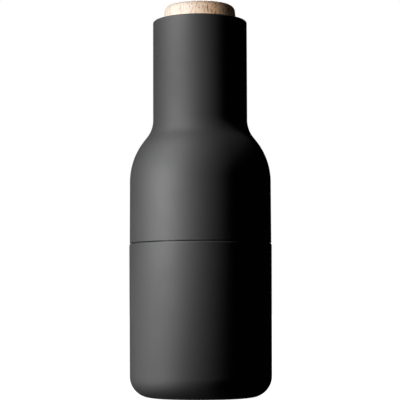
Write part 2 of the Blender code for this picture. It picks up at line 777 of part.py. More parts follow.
def build_lid_cap(parts, tools):
    outline = [(0.0, HEIGHT)]
    outline += arc(LID_TOP_R - LID_EDGE_R, HEIGHT - LID_EDGE_R, LID_EDGE_R, 90, 0, 4)
    outline += [(LID_R, LID_BOTTOM_Z + EDGE_R), (LID_R - EDGE_R, LID_BOTTOM_Z)]
    outline += [(0.0, LID_BOTTOM_Z)]
    cap = turned("lid_cap", outline, parts, SHELL_STEPS, closed=False)
    pilots = holes("lid_pilot", LID_SCREWS, LID_BOTTOM_Z - PAST, LID_SCREWS.tip_z + GAP, tools)
    cut(cap, *pilots)


def build_lid_plug(parts, tools):
    low, high = PLUG_Z
    groove = PLUG_SEAL_WIRE_R + GAP
    groove_r = PLUG_SEAL_RING_R - PLUG_SEAL_WIRE_R - GAP
    outline = [
        (0.0, high),
        (PLUG_R - PLUG_EDGE, high),
        (PLUG_R, high - PLUG_EDGE),
        (PLUG_R, PLUG_SEAL_Z + groove),
        (groove_r, PLUG_SEAL_Z + groove),
        (groove_r, PLUG_SEAL_Z - groove),
        (PLUG_R, PLUG_SEAL_Z - groove),
        (PLUG_R - PLUG_EDGE, low),
        (PLUG_INNER_R, low),
        (PLUG_INNER_R, PLUG_PLATE_Z),
        (0.0, PLUG_PLATE_Z),
    ]
    plug = turned("lid_plug", outline, parts, closed=False)
    cut(plug, *holes("plug_hole", LID_SCREWS, PLUG_PLATE_Z - PAST, high + PAST, tools))


# ---------------------------------------------------------------- assembly

MATERIAL_OF = {
    "lower_shell": "soft_touch_black",
    "upper_shell": "soft_touch_black",
    "lid_cap": "beech",
    "foot_pad": "silicone",
    "seal_ring": "silicone",
    "lid_seal": "silicone",
    "reservoir_cup": "smoke_plastic",
    "coupling_collar": "smoke_plastic",
    "inner_burr": "ceramic_white",
    "outer_burr": "ceramic_white",
    "shaft_bush": "acetal_white",
    "drive_shaft": "aluminium",
    "shaft_clip": "steel",
    "thrust_washer": "steel",
    "spring_seat": "steel",
    "burr_spring": "steel",
    "adjust_washer": "steel",
    "dial_nut": "steel",
}


def numbered(name):
    return [f"{name}_{i}" for i in (1, 2, 3)]


# Each moving body hangs from the one named first, and its joint's axis is the mill's own
BODIES = {
    "lower_half": (
        None,
        ["lower_shell", "foot_pad", "reservoir_cup", "drive_post", *numbered("base_screw")],
    ),
    "drive_train": ("lower_half", ["drive_shaft", "shaft_clip", "spring_seat", "burr_spring"]),
    "upper_half": (
        "drive_train",
        [
            "upper_shell",
            "coupling_collar",
            "seal_ring",
            "mill_housing",
            "outer_burr",
            "bearing_bridge",
            "shaft_bush",
            "thrust_washer",
            *numbered("bridge_screw"),
        ],
    ),
    "burr_carrier": ("drive_train", ["inner_burr", "adjust_washer"]),
    "dial": ("burr_carrier", ["adjusting_dial", "dial_nut"]),
    "lid": ("upper_half", ["lid_cap", "lid_plug", "lid_seal", *numbered("lid_screw")]),
}


def hang_bodies(parts):
    """Parents the pieces of each body to an empty on the axis, and the empties to each other."""
    for body, (carrier, names) in BODIES.items():
        empty = add_object(body, None, parts)
        empty.parent = parts.objects.get(carrier) if carrier else None
        for name in names:
            parts.objects[name].parent = empty


def paint(parts, materials):
    """Gives each piece its finish: screws are steel, and what isn't listed is black nylon."""
    for obj in parts.objects:
        usual = "steel" if "screw" in obj.name else "black_nylon"
        material = materials[MATERIAL_OF.get(obj.name, usual)]
        obj.data.materials.clear()
        obj.data.materials.append(material)


def main():
    clear_scene()
    parts = new_collection("pepper_mill")
    tools = new_collection("cutters")
    build_lower_shell(parts, tools)
    build_foot_pad(parts)
    build_reservoir_cup(parts, tools)
    build_drive_post(parts, tools)
    screw_set("base_screw", BASE_SCREWS, parts, tools)
    build_upper_shell(parts, tools)
    build_coupling_collar(parts)
    build_ring("seal_ring", SEAL_RING_R, SEAL_WIRE_R, SEAL_Z, parts)
    build_mill_housing(parts, tools)
    build_burrs(parts, tools)
    build_bearing_bridge(parts, tools)
    screw_set("bridge_screw", BRIDGE_SCREWS, parts, tools)
    build_shaft_bush(parts)
    build_drive_shaft(parts, tools)
    build_shaft_clip(parts, tools)
    washer("thrust_washer", BUSH_BORE_R, BUSH_FLANGE_R, THRUST_WASHER_Z, parts)
    washer("spring_seat", BUSH_BORE_R, BUSH_FLANGE_R, SPRING_SEAT_Z, parts)
    build_burr_spring(parts)
    washer("adjust_washer", NUT_BORE_R, ADJUST_WASHER_R, ADJUST_WASHER_Z, parts)
    build_adjusting_dial(parts, tools)
    build_dial_nut(parts, tools)
    build_lid_cap(parts, tools)
    build_lid_plug(parts, tools)
    build_ring("lid_seal", PLUG_SEAL_RING_R, PLUG_SEAL_WIRE_R, PLUG_SEAL_Z, parts)
    screw_set("lid_screw", LID_SCREWS, parts, tools)
    paint(parts, make_materials())
    hang_bodies(parts)


main()
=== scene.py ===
"""The looks of a bottle-shaped pepper mill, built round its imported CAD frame.

Every piece is made again here with fine rounding, real teeth and threads, and a procedural
material. Sizes that touch another piece come from the frame's own boxes. Lengths are in
millimetres until MM turns them into Blender's metres.
"""

import math

import bmesh
import bpy
import numpy as np
from mathutils import Matrix, Vector


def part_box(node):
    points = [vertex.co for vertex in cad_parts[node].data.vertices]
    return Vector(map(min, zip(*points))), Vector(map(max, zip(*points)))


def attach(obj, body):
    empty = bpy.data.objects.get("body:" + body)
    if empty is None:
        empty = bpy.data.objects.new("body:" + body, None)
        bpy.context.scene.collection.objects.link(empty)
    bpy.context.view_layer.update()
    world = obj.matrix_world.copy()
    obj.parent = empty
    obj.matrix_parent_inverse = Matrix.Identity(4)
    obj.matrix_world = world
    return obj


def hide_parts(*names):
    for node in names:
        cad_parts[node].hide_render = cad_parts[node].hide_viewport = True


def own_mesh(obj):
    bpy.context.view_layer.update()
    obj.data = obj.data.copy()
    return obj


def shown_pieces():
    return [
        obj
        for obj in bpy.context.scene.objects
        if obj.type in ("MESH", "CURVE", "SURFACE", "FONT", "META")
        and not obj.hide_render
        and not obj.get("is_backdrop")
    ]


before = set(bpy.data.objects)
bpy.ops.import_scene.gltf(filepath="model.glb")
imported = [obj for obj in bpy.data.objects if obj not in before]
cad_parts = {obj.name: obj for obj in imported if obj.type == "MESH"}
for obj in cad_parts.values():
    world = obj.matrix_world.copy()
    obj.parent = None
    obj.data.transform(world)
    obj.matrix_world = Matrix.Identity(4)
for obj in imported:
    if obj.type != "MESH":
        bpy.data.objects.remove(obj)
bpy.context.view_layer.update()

MM = 0.001

# Steps round a piece, by how large it shows
SHELL_STEPS = 192
INNER_STEPS = 144
SMALL_STEPS = 72
HALF_STEP = 180.0 / SMALL_STEPS
SCREW_STEPS = 48
SHARP_ANGLE = 32.0

# Clearance that touching pieces keep in the frame, and how far a cutter runs past a face
GAP = 0.3
OVERCUT = 1.0

# Three of everything that fastens: screws at one set of angles, tabs and arms at the other
SCREW_ANGLES = (90.0, 210.0, 330.0)
TAB_ANGLES = (30.0, 150.0, 270.0)

# The hexagonal shaft, the holes that it drives, and the thread at its top
SHAFT_FLATS = 6.0
SHAFT_SOCKET_FLATS = 6.6
SHAFT_PITCH = 0.8
BURR_TRAVEL = 0.6


# ---------------------------------------------------------------- sizes from the frame


def radius_of(node):
    """The node's largest radius, in millimetres."""
    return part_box(node)[1].x / MM


def heights_of(node):
    """The node's lowest and highest level, in millimetres."""
    low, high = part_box(node)
    return low.z / MM, high.z / MM


# ---------------------------------------------------------------- outlines


def arc(centre_r, centre_z, radius, start, end, segments):
    """Points of an arc in the (radius, height) plane, by angles in degrees from outwards."""
    points = []
    for i in range(segments + 1):
        angle = math.radians(start + (end - start) * i / segments)
        points.append((centre_r + radius * math.cos(angle), centre_z + radius * math.sin(angle)))
    return points


def eased_edge(radius, level, lip_r, ease_r, ease_angle, side):
    """A wall's end at the seam: it leans in over a wide arc, then rounds over a small lip.

    side is 1 for a wall's top edge and -1 for its bottom edge. The points run downwards.
    """
    turn = math.radians(ease_angle)
    height = ease_r * math.sin(turn) + lip_r * (1 - math.sin(turn))
    wide = (radius - ease_r, level - side * height)
    reach = ease_r - lip_r
    small = (wide[0] + reach * math.cos(turn), wide[1] + side * reach * math.sin(turn))
    lip = arc(*small, lip_r, side * 90, side * ease_angle, 6)
    ease = arc(*wide, ease_r, side * ease_angle, 0, 8)
    return lip + ease if side > 0 else ease[::-1] + lip[::-1]


def rounded(corners, segments=6, closed=False):
    """An outline from (radius, height) or (radius, height, rounding) corners."""
    count = len(corners)
    points = []
    for i, corner in enumerate(corners):
        here = Vector(corner[:2])
        is_end = not closed and i in (0, count - 1)
        if len(corner) == 2 or is_end:
            points.append(tuple(here))
            continue
        back = (Vector(corners[i - 1][:2]) - here).normalized()
        ahead = (Vector(corners[(i + 1) % count][:2]) - here).normalized()
        half = back.angle(ahead) / 2
        centre = here + (back + ahead).normalized() * corner[2] / math.sin(half)
        reach = corner[2] / math.tan(half)
        first, last = here + back * reach - centre, here + ahead * reach - centre
        turn = first.angle_signed(last)
        for k in range(segments + 1):
            spot = centre + Matrix.Rotation(-turn * k / segments, 2) @ first
            points.append(tuple(spot))
    return points


def dense(points, step):
    """The same outline, with more points wherever two lie more than step apart."""
    finer = []
    for (r0, z0), (r1, z1) in zip(points, points[1:]):
        parts = max(1, math.ceil(math.hypot(r1 - r0, z1 - z0) / step))
        for i in range(parts):
            finer.append((r0 + (r1 - r0) * i / parts, z0 + (z1 - z0) * i / parts))
    return [*finer, points[-1]]


# ---------------------------------------------------------------- shapes


def add_object(name, data):
    obj = bpy.data.objects.new(name, data)
    bpy.context.scene.collection.objects.link(obj)
    return obj


def smooth(obj):
    """Applies the object's modifiers and shades it smooth between its real edges."""
    bpy.context.view_layer.update()
    evaluated = obj.evaluated_get(bpy.context.evaluated_depsgraph_get())
    mesh = bpy.data.meshes.new_from_object(evaluated)
    obj.modifiers.clear()
    obj.data = mesh
    mesh.shade_smooth()
    mesh.set_sharp_from_angle(angle=math.radians(SHARP_ANGLE))
    return obj


def turned(name, outline, steps=INNER_STEPS, closed=False, relief=None, start=0.0):
    """Turns an outline of (radius, height) points, which runs down its outer side, about Z.

    An open outline starts and ends on the axis, and a closed one makes a ring. relief takes
    arrays of radius, height and angle and returns the radius to use, for teeth and threads.
    start is the first step's angle, in degrees: a cutter's edges then miss a hexagon's corners.
    """
    radius, height = np.array(outline, float).T[:, :, None]
    angle = math.radians(start) + np.linspace(0.0, math.tau, steps, endpoint=False)[None, :]
    on_axis = radius[:, 0] < 1e-6
    if relief is not None:
        radius = np.where(radius < 1e-6, 0.0, relief(radius, height, angle))
    points = np.stack(
        np.broadcast_arrays(radius * np.cos(angle), radius * np.sin(angle), height), axis=-1
    )
    shape = bmesh.new()
    rings = []
    for i, ring in enumerate(points * MM):
        if on_axis[i]:
            rings.append([shape.verts.new(ring[0])] * steps)
        else:
            rings.append([shape.verts.new(spot) for spot in ring])
    pairs = list(zip(rings, rings[1:]))
    if closed:
        pairs.append((rings[-1], rings[0]))
    for upper, lower in pairs:
        for j in range(steps):
            k = (j + 1) % steps
            corners = dict.fromkeys((upper[j], lower[j], lower[k], upper[k]))
            if len(corners) > 2:
                shape.faces.new(corners)
    mesh = bpy.data.meshes.new(name)
    shape.to_mesh(mesh)
    shape.free()
    return smooth(add_object(name, mesh))


def prism(name, corners, low, high, bevel=0.0):
    """An upright prism over a flat outline of (x, y) corners."""
    shape = bmesh.new()
    bottom = [shape.verts.new((x * MM, y * MM, low * MM)) for x, y in corners]
    top = [shape.verts.new((x * MM, y * MM, high * MM)) for x, y in corners]
    shape.faces.new(reversed(bottom))
    shape.faces.new(top)
    for i in range(len(corners)):
        j = (i + 1) % len(corners)
        shape.faces.new((bottom[i], bottom[j], top[j], top[i]))
    mesh = bpy.data.meshes.new(name)
    shape.to_mesh(mesh)
    shape.free()
    obj = add_object(name, mesh)
    if bevel:
        edge = obj.modifiers.new("edges", "BEVEL")
        edge.width = bevel * MM
        edge.segments = 3
        edge.limit_method = "ANGLE"
    return smooth(obj)


def around(radius, angle):
    turn = math.radians(angle)
    return radius * math.cos(turn), radius * math.sin(turn)


def hexagon(flats):
    """Corners of a hexagon with this distance between its flats, one of them on +X."""
    return [around(flats / math.sqrt(3), 60.0 * i) for i in range(6)]


def ring_of(radius, centre=(0.0, 0.0), sides=32):
    """Corners of a circle round a point."""
    spots = [around(radius, 360.0 * i / sides) for i in range(sides)]
    return [(centre[0] + x, centre[1] + y) for x, y in spots]


def turn_about_axis(corners, angle):
    spin = Matrix.Rotation(math.radians(angle), 2)
    return [tuple(spin @ Vector(corner)) for corner in corners]


def bar(inner_r, outer_r, width, angle):
    """Corners of a bar that points outwards from the axis."""
    half = width / 2
    corners = [(inner_r, -half), (outer_r, -half), (outer_r, half), (inner_r, half)]
    return turn_about_axis(corners, angle)


def combine(obj, operation, others):
    """Applies a Boolean with each of the others to the object, and removes the others."""
    for other in others:
        modifier = obj.modifiers.new(other.name, "BOOLEAN")
        modifier.operation = operation
        modifier.solver = "EXACT"
        modifier.object = other
    smooth(obj)
    for other in others:
        bpy.data.objects.remove(other)


def cut(obj, *others):
    combine(obj, "DIFFERENCE", others)


def join(obj, *others):
    combine(obj, "UNION", others)


def keep_inside(obj, *others):
    combine(obj, "INTERSECT", others)


def holes(radius, circle_r, angles, low, high):
    """One upright cutter for each angle on a circle."""
    return [
        prism(f"hole_{angle:.0f}", ring_of(radius, around(circle_r, angle)), low, high)
        for angle in angles
    ]


def bars(inner_r, outer_r, width, low, high, bevel=0.0):
    """Three bars that point outwards, at the angles of the tabs and arms."""
    return [
        prism(f"bar_{angle:.0f}", bar(inner_r, outer_r, width, angle), low, high, bevel)
        for angle in TAB_ANGLES
    ]


def share(value, low, high):
    """How far a value has come from low to high, from 0 to 1."""
    return np.clip((value - low) / (high - low), 0.0, 1.0)


def thread(pitch, depth, low, high):
    """Relief for a right-handed screw thread between two heights, fading out at both ends."""
    crest = 0.1  # leaves a flat crest beside the V-shaped groove

    def relief(radius, height, angle):
        turn = (height / pitch - angle / math.tau) % 1.0
        groove = np.clip((2.0 + 2.0 * crest) * np.abs(turn - 0.5) - crest, 0.0, 1.0)
        fade = share(height, low, low + pitch) * share(height, high, high - pitch)
        return radius - depth * groove * fade

    return relief


# ---------------------------------------------------------------- materials


class Look:
    """A node material round one Principled shader."""

    def __init__(self, name, **constants):
        self.material = bpy.data.materials.new(name)
        self.material.use_nodes = True
        self.tree = self.material.node_tree
        self.shader = self.tree.nodes["Principled BSDF"]
        for socket, value in constants.items():
            self.shader.inputs[socket.replace("_", " ")].default_value = value
        self.place = self.node("ShaderNodeTexCoord").outputs["Object"]

    def node(self, kind, inputs=None, **settings):
        made = self.tree.nodes.new(kind)
        for name, value in settings.items():
            setattr(made, name, value)
        for name, value in (inputs or {}).items():
            if isinstance(value, bpy.types.NodeSocket):
                self.tree.links.new(value, made.inputs[name])
            else:
                made.inputs[name].default_value = value
        return made

    def stretched(self, x, y, z, place=None):
        """A place, by default on the piece, with this many features to the millimetre."""
        inputs = {
            "Vector": self.place if place is None else place,
            "Scale": (x / MM, y / MM, z / MM),
        }
        return self.node("ShaderNodeMapping", inputs).outputs[0]

    def leaned(self, angle):
        """The place on the piece, turned about Y by an angle in degrees."""
        turn = (0.0, math.radians(angle), 0.0)
        return self.node("ShaderNodeMapping", {"Vector": self.place, "Rotation": turn}).outputs[0]

    def noise(self, place, detail=2.0, roughness=0.5):
        inputs = {"Vector": place, "Scale": 1.0, "Detail": detail, "Roughness": roughness}
        return self.node("ShaderNodeTexNoise", inputs).outputs["Fac"]

    def span(self, value, low, high, to_low=0.0, to_high=1.0):
        """value, where low to high becomes to_low to to_high."""
        inputs = {
            "Value": value,
            "From Min": low,
            "From Max": high,
            "To Min": to_low,
            "To Max": to_high,
        }
        return self.node("ShaderNodeMapRange", inputs).outputs["Result"]

    def math(self, operation, first, second=0.0):
        made = self.node("ShaderNodeMath", {0: first, 1: second}, operation=operation)
        return made.outputs[0]

    def mix(self, share, first, second):
        """A colour between two, by share."""
        made = self.node("ShaderNodeMix", data_type="RGBA")
        for socket, value in ((0, share), (6, first), (7, second)):
            if isinstance(value, bpy.types.NodeSocket):
                self.tree.links.new(value, made.inputs[socket])
            elif socket == 0:
                made.inputs[socket].default_value = value
            else:
                made.inputs[socket].default_value = (*value, 1.0)
        return made.outputs[2]

    def paint(self, socket, value):
        self.tree.links.new(value, self.shader.inputs[socket])

    def bump(self, height, distance, strength):
        """Raises the surface by up to distance, in millimetres."""
        inputs = {"Height": height, "Distance": distance * MM, "Strength": strength}
        self.paint("Normal", self.node("ShaderNodeBump", inputs).outputs["Normal"])


def soft_touch():
    """Rubbery charcoal coat: nearly black, with a wide soft gloss and a very fine tooth."""
    look = Look("soft_touch_charcoal", Specular_IOR_Level=1.0)
    cloud = look.noise(look.stretched(0.06, 0.06, 0.06), detail=3.0)
    tooth = look.noise(look.stretched(5.0, 5.0, 5.0), detail=2.0)
    look.paint("Base Color", look.mix(cloud, (0.005, 0.0052, 0.0055), (0.007, 0.0072, 0.0076)))
    grain = look.math("ADD", look.math("MULTIPLY", tooth, 0.5), look.math("MULTIPLY", cloud, 0.5))
    look.paint("Roughness", look.span(grain, 0.3, 0.7, 0.66, 0.74))
    look.bump(tooth, 0.012, 0.5)
    return look.material


def beech():
    """Pale beech with its grain upright: growth bands, short slanted flecks and fine pores.

    One side of the disc is pale beech, and the other is painted warmer and darker, as painted
    shade.
    """
    pale_side_wood, painted_shade_wood, band = (0.755, 0.66, 0.57), (0.76, 0.475, 0.27), (0.52, 0.37, 0.25)
    fleck_colour, pore_colour = (0.26, 0.145, 0.075), (0.40, 0.27, 0.17)
    look = Look("pale_beech", Specular_IOR_Level=0.25)
    across = look.node("ShaderNodeSeparateXYZ", {0: look.place}).outputs["X"]
    wander = look.noise(look.stretched(0.05, 0.05, 0.02), detail=2.0)
    bands = look.noise(look.stretched(0.34, 0.12, 0.015), detail=3.0, roughness=0.6)
    streaks = look.noise(look.stretched(1.6, 1.6, 0.07), detail=3.0, roughness=0.65)
    # Painted shade: towards +X, the side away from the lamps, the wood is painted warmer and
    # darker, with a random wander in tone
    side = look.span(across, -7.0 * MM, 8.0 * MM)
    painted_shade_and_tone = look.math("ADD", side, look.span(wander, 0.4, 0.6, -0.1, 0.1))
    wood = look.mix(painted_shade_and_tone, pale_side_wood, painted_shade_wood)
    tone = look.math("ADD", look.math("MULTIPLY", bands, 0.5), look.math("MULTIPLY", streaks, 0.5))
    wood = look.mix(look.span(tone, 0.36, 0.64, 0.22, 0.0), wood, band)
    fleck = None
    for tilt, strength in ((14.0, 0.9), (-11.0, 0.75)):
        dash = look.stretched(1.5, 1.5, 0.3, look.leaned(tilt))
        marks = look.span(look.noise(dash, detail=1.0, roughness=0.4), 0.62, 0.67, 0.0, strength)
        fleck = marks if fleck is None else look.math("MAXIMUM", fleck, marks)
    # The flecks show more strongly where the wood carries the painted shade
    fleck = look.math("MULTIPLY", fleck, look.span(painted_shade_and_tone, -0.1, 0.5, 0.4, 1.0))
    wood = look.mix(fleck, wood, fleck_colour)
    pores = look.noise(look.stretched(6.0, 6.0, 0.8), detail=1.0)
    pore = look.span(pores, 0.64, 0.74)
    wood = look.mix(look.math("MULTIPLY", pore, 0.3), wood, pore_colour)
    look.paint("Base Color", wood)
    look.paint("Roughness", look.span(streaks, 0.3, 0.7, 0.5, 0.64))
    sunk = look.math("SUBTRACT", look.math("MULTIPLY", streaks, 0.25), fleck)
    look.bump(look.math("SUBTRACT", sunk, pore), 0.02, 0.5)
    return look.material


def moulded(name, dark, light, roughness, tooth_mm, **constants):
    """A moulded plastic or rubber: a slight cloud in its colour, and the mould's fine texture."""
    look = Look(name, **constants)
    cloud = look.noise(look.stretched(0.08, 0.08, 0.08), detail=3.0)
    size = 1.0 / tooth_mm
    tooth = look.noise(look.stretched(size, size, size), detail=2.0, roughness=0.6)
    look.paint("Base Color", look.mix(cloud, dark, light))
    look.paint("Roughness", look.span(tooth, 0.3, 0.7, roughness - 0.06, roughness + 0.06))
    look.bump(tooth, tooth_mm * 0.06, 0.6)
    return look.material


def ceramic():
    """Fired white ceramic with a warm cloud and a few tiny specks."""
    look = Look("white_ceramic", Specular_IOR_Level=0.5)
    cloud = look.noise(look.stretched(0.12, 0.12, 0.12), detail=4.0)
    specks = look.noise(look.stretched(2.6, 2.6, 2.6), detail=1.0)
    body = look.mix(cloud, (0.80, 0.77, 0.70), (0.88, 0.86, 0.81))
    speck = look.span(specks, 0.70, 0.76, 0.0, 0.4)
    look.paint("Base Color", look.mix(speck, body, (0.50, 0.44, 0.36)))
    look.paint("Roughness", look.span(cloud, 0.3, 0.7, 0.28, 0.42))
    look.bump(look.noise(look.stretched(4.0, 4.0, 4.0)), 0.01, 0.4)
    return look.material


def metal(name, dark, light, roughness, lines):
    """Bare metal with fine tool lines: lines gives their number to the millimetre on each axis."""
    look = Look(name, Metallic=1.0)
    drawn = look.noise(look.stretched(*lines), detail=3.0, roughness=0.7)
    cloud = look.noise(look.stretched(0.15, 0.15, 0.15), detail=2.0)
    look.paint("Base Color", look.mix(cloud, dark, light))
    look.paint("Roughness", look.span(drawn, 0.3, 0.7, roughness - 0.08, roughness + 0.1))
    look.bump(drawn, 0.008, 0.5)
    return look.material


SOFT_TOUCH = soft_touch()
BEECH = beech()
CERAMIC = ceramic()
SILICONE = moulded(
    "black_silicone", (0.018, 0.018, 0.019), (0.028, 0.028, 0.029), 0.62, 0.25
)
SMOKE = moulded(
    "smoke_plastic", (0.045, 0.046, 0.049), (0.058, 0.059, 0.062), 0.3, 0.5, Coat_Weight=0.2
)
NYLON = moulded("black_nylon", (0.014, 0.014, 0.015), (0.022, 0.022, 0.023), 0.48, 0.2)
ACETAL = moulded("natural_acetal", (0.72, 0.71, 0.66), (0.80, 0.79, 0.75), 0.36, 0.4)
ALUMINIUM = metal("drawn_aluminium", (0.70, 0.70, 0.71), (0.80, 0.80, 0.81), 0.30, (6, 6, 0.05))
SPRING_STEEL = metal("spring_steel", (0.50, 0.50, 0.51), (0.62, 0.62, 0.63), 0.26, (1, 1, 8))
ZINC = metal("zinc_plated_steel", (0.60, 0.61, 0.64), (0.72, 0.73, 0.75), 0.30, (3, 3, 3))


def place(obj, body, nodes, slot, material):
    """Gives a finished piece its body and its look, and hides the CAD nodes it stands for; slot is
    not used.
    """
    obj.data.materials.clear()
    obj.data.materials.append(material)
    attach(obj, body)
    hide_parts(*nodes)


# ---------------------------------------------------------------- the lower half

PAD_R = 22.0
PAD_RECESS_Z = 1.5
PAD_GROOVES_R = (17.0, 11.5, 6.0)
BASE_R = 36.8
BASE_CORNER_R = 10.95
LOWER_INNER_R = 35.0
CUP_WALL = 1.3
FLOOR_Z = 4.8
FLOOR_CORNER_R = 8.0
BASE_SCREW_CIRCLE_R = 8.8
BASE_SCREW_HOLE_R = 1.6
BASE_SCREW_SEAT_R = 3.2
BASE_SCREW_SEAT_Z = 3.3
BASE_SCREW_PILOT_R = 1.55
BASE_SCREW_PILOT_Z = 13.3

# Each half's edge at the seam: lip radius, easing radius and angle, and shift from the frame
LOWER_EDGE = (0.2, 1.6, 32.0)
LOWER_EDGE_SHIFT = -0.05
UPPER_EDGE = (0.12, 1.0, 12.0)
UPPER_EDGE_SHIFT = -0.1


def lower_shell():
    outer = radius_of("lower_shell")
    base, top = heights_of("lower_shell")
    inner, corner = LOWER_INNER_R, FLOOR_CORNER_R
    inner_edge, pad_edge = 0.25, 0.2
    outline = [(0.0, FLOOR_Z)]
    outline += arc(inner - corner, FLOOR_Z + corner, corner, -90, 0, 16)
    outline += arc(inner + inner_edge, top - inner_edge, inner_edge, 180, 90, 4)
    outline += eased_edge(outer, top + LOWER_EDGE_SHIFT, *LOWER_EDGE, side=1)
    outline += arc(BASE_R - BASE_CORNER_R, base + BASE_CORNER_R, BASE_CORNER_R, 0, -90, 32)
    outline += arc(PAD_R + pad_edge, base + pad_edge, pad_edge, 270, 180, 4)
    outline += [(PAD_R, PAD_RECESS_Z), (0.0, PAD_RECESS_Z)]
    shell = turned("lower_shell_coated", outline, SHELL_STEPS)
    circle_r, bottom = BASE_SCREW_CIRCLE_R, PAD_RECESS_Z - OVERCUT
    seats = holes(BASE_SCREW_SEAT_R, circle_r, SCREW_ANGLES, bottom, BASE_SCREW_SEAT_Z)
    through = holes(BASE_SCREW_HOLE_R, circle_r, SCREW_ANGLES, bottom, FLOOR_Z + OVERCUT)
    cut(shell, *seats, *through)
    place(shell, "lower_half", ["lower_shell"], "soft_touch_shell", SOFT_TOUCH)


def foot_pad():
    """A disc with rounded edges and three shallow grooves in its face."""
    radius = radius_of("foot_pad")
    base, top = heights_of("foot_pad")
    outline = rounded([(0.0, top), (radius, top, 0.2), (radius, base, 0.35), (0.0, base)])[:-1]
    wall, depth = 0.25, 0.45
    for groove_r in PAD_GROOVES_R:
        outline += [
            (groove_r, base),
            (groove_r, base + wall),
            (groove_r - wall, base + depth),
            (groove_r - 3 * wall, base + depth),
            (groove_r - 4 * wall, base + wall),
            (groove_r - 4 * wall, base),
        ]
    outline.append((0.0, base))
    pad = turned("foot_pad_grooved", outline)
    place(pad, "lower_half", ["foot_pad"], "foot_silicone", SILICONE)


def reservoir_cup():
    """A thin-walled cup, whose rim has a chamfer inside to guide the collar."""
    outer = radius_of("reservoir_cup")
    low, top = heights_of("reservoir_cup")
    inner = outer - CUP_WALL
    edge, chamfer = 0.3, 0.8
    centre_r = outer + GAP - FLOOR_CORNER_R
    centre_z = low - GAP + FLOOR_CORNER_R
    outer_corner = FLOOR_CORNER_R - GAP
    outline = [(0.0, low + CUP_WALL)]
    outline += arc(centre_r, centre_z, outer_corner - CUP_WALL, -90, 0, 16)
    outline += [(inner, top - chamfer), (inner + edge, top - 0.25)]
    outline += arc(outer - edge, top - edge, edge, 90, 0, 5)
    outline += arc(centre_r, centre_z, outer_corner, 0, -90, 16)
    outline += [(0.0, low)]
    cup = turned("reservoir_cup_moulded", outline)
    inside = low + CUP_WALL + OVERCUT
    through = holes(BASE_SCREW_HOLE_R, BASE_SCREW_CIRCLE_R, SCREW_ANGLES, low - OVERCUT, inside)
    cut(cup, *through)
    place(cup, "lower_half", ["reservoir_cup"], "smoke_plastic", SMOKE)


def drive_post():
    """A post on a wide flange, with a funnelled hexagonal socket down its middle."""
    flange = radius_of("drive_post")
    low, top = heights_of("drive_post")
    tip_r, root_r, root_z, flange_z = 5.5, 6.0, 19.0, 14.5
    socket_depth, mouth_r, mouth_foot_r = 18.0, 5.1, 3.1
    corners = [
        (0.0, top),
        (tip_r, top, 0.7),
        (root_r, root_z, 2.5),
        (flange, flange_z, 1.2),
        (flange, low, 0.3),
        (0.0, low),
    ]
    post = turned("drive_post_moulded", rounded(corners), SMALL_STEPS)
    socket = prism("socket", hexagon(SHAFT_SOCKET_FLATS), top - socket_depth, top + OVERCUT)
    above, below = top + 1.0, top - 1.0
    funnel = [(0.0, above), (mouth_r, above), (mouth_foot_r, below), (0.0, below)]
    pilot_r, circle_r = BASE_SCREW_PILOT_R, BASE_SCREW_CIRCLE_R
    pilots = holes(pilot_r, circle_r, SCREW_ANGLES, low - OVERCUT, BASE_SCREW_PILOT_Z)
    cut(post, socket, turned("mouth", funnel), *pilots)
    place(post, "lower_half", ["drive_post"], "black_nylon", NYLON)


def screw_set(node, body, shank_r, head_height, pitch):
    """Three pan-head screws with a six-sided recess and a real thread, tips up."""
    low, high = heights_of(f"{node}_1")
    corner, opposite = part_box(f"{node}_1")
    head_r = (opposite - corner).x / MM / 2
    seat, cone, thread_depth = low + head_height, 1.4, 0.2
    outline = dense([(0.0, high), (shank_r * 0.3, high), (shank_r, high - cone)], 0.1)
    outline += dense([(shank_r, high - cone - 0.1), (shank_r, seat)], 0.08)
    outline += rounded([(shank_r, seat), (head_r, seat, 0.15), (head_r, low, 0.6), (0.0, low)])[1:]
    relief = thread(pitch, thread_depth, seat + 0.3, high - 0.4)
    first = turned(f"{node}_1_threaded", outline, SCREW_STEPS, relief=relief)
    cut(first, prism("recess", hexagon(head_r), low - OVERCUT, low + head_height * 0.6))
    for i in (1, 2, 3):
        name = f"{node}_{i}"
        centre = (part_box(name)[0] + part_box(name)[1]) / 2
        screw = first if i == 1 else add_object(f"{name}_threaded", first.data.copy())
        screw.location = (centre.x, centre.y, 0.0)
        place(screw, body, [name], "plated_steel", ZINC)


# ---------------------------------------------------------------- the upper half

WALL = 2.2
UPPER_INNER_R = 34.8
SHOULDER_Z = 111.95
SHOULDER_R = 36.8
SHOULDER_ARC_R = 34.35
SHOULDER_ANGLE = 38.0
NECK_ARC_R = 15.5
NECK_FOOT_R = 24.67
NECK_TOP_R = 24.69
RIM_R = 0.95
RIM_THICKNESS = 2.5
MOUTH_R = 19.65
MOUTH_EDGE_R = 0.4
NECK_BORE_R = 22.3
TAB_Z = (166.0, 169.0)
TAB_TIP_R = 22.8
TAB_WIDTH = 5.0
BRIDGE_SCREW_CIRCLE_R = 19.7
BRIDGE_SCREW_HOLE_R = 1.4
BRIDGE_SCREW_PILOT_Z = 172.0
LUG_TIP_R = 18.3
LUG_WIDTH = 3.0
LUG_Z = 171.0


def shoulder(inset, segments):
    """The shoulder's outline from the foot of the neck down to the straight wall."""
    turn = math.radians(SHOULDER_ANGLE)
    drop = (SHOULDER_ARC_R + NECK_ARC_R) * (1 - math.cos(turn))
    slope = (SHOULDER_R - NECK_FOOT_R - drop) / math.sin(turn)
    rise = (SHOULDER_ARC_R + NECK_ARC_R) * math.sin(turn) + slope * math.cos(turn)
    neck = arc(
        NECK_FOOT_R + NECK_ARC_R,
        SHOULDER_Z + rise,
        NECK_ARC_R + inset,
        180,
        180 + SHOULDER_ANGLE,
        segments,
    )
    body_r = SHOULDER_ARC_R - inset
    body = arc(SHOULDER_R - SHOULDER_ARC_R, SHOULDER_Z, body_r, SHOULDER_ANGLE, 0, segments)
    return neck + body


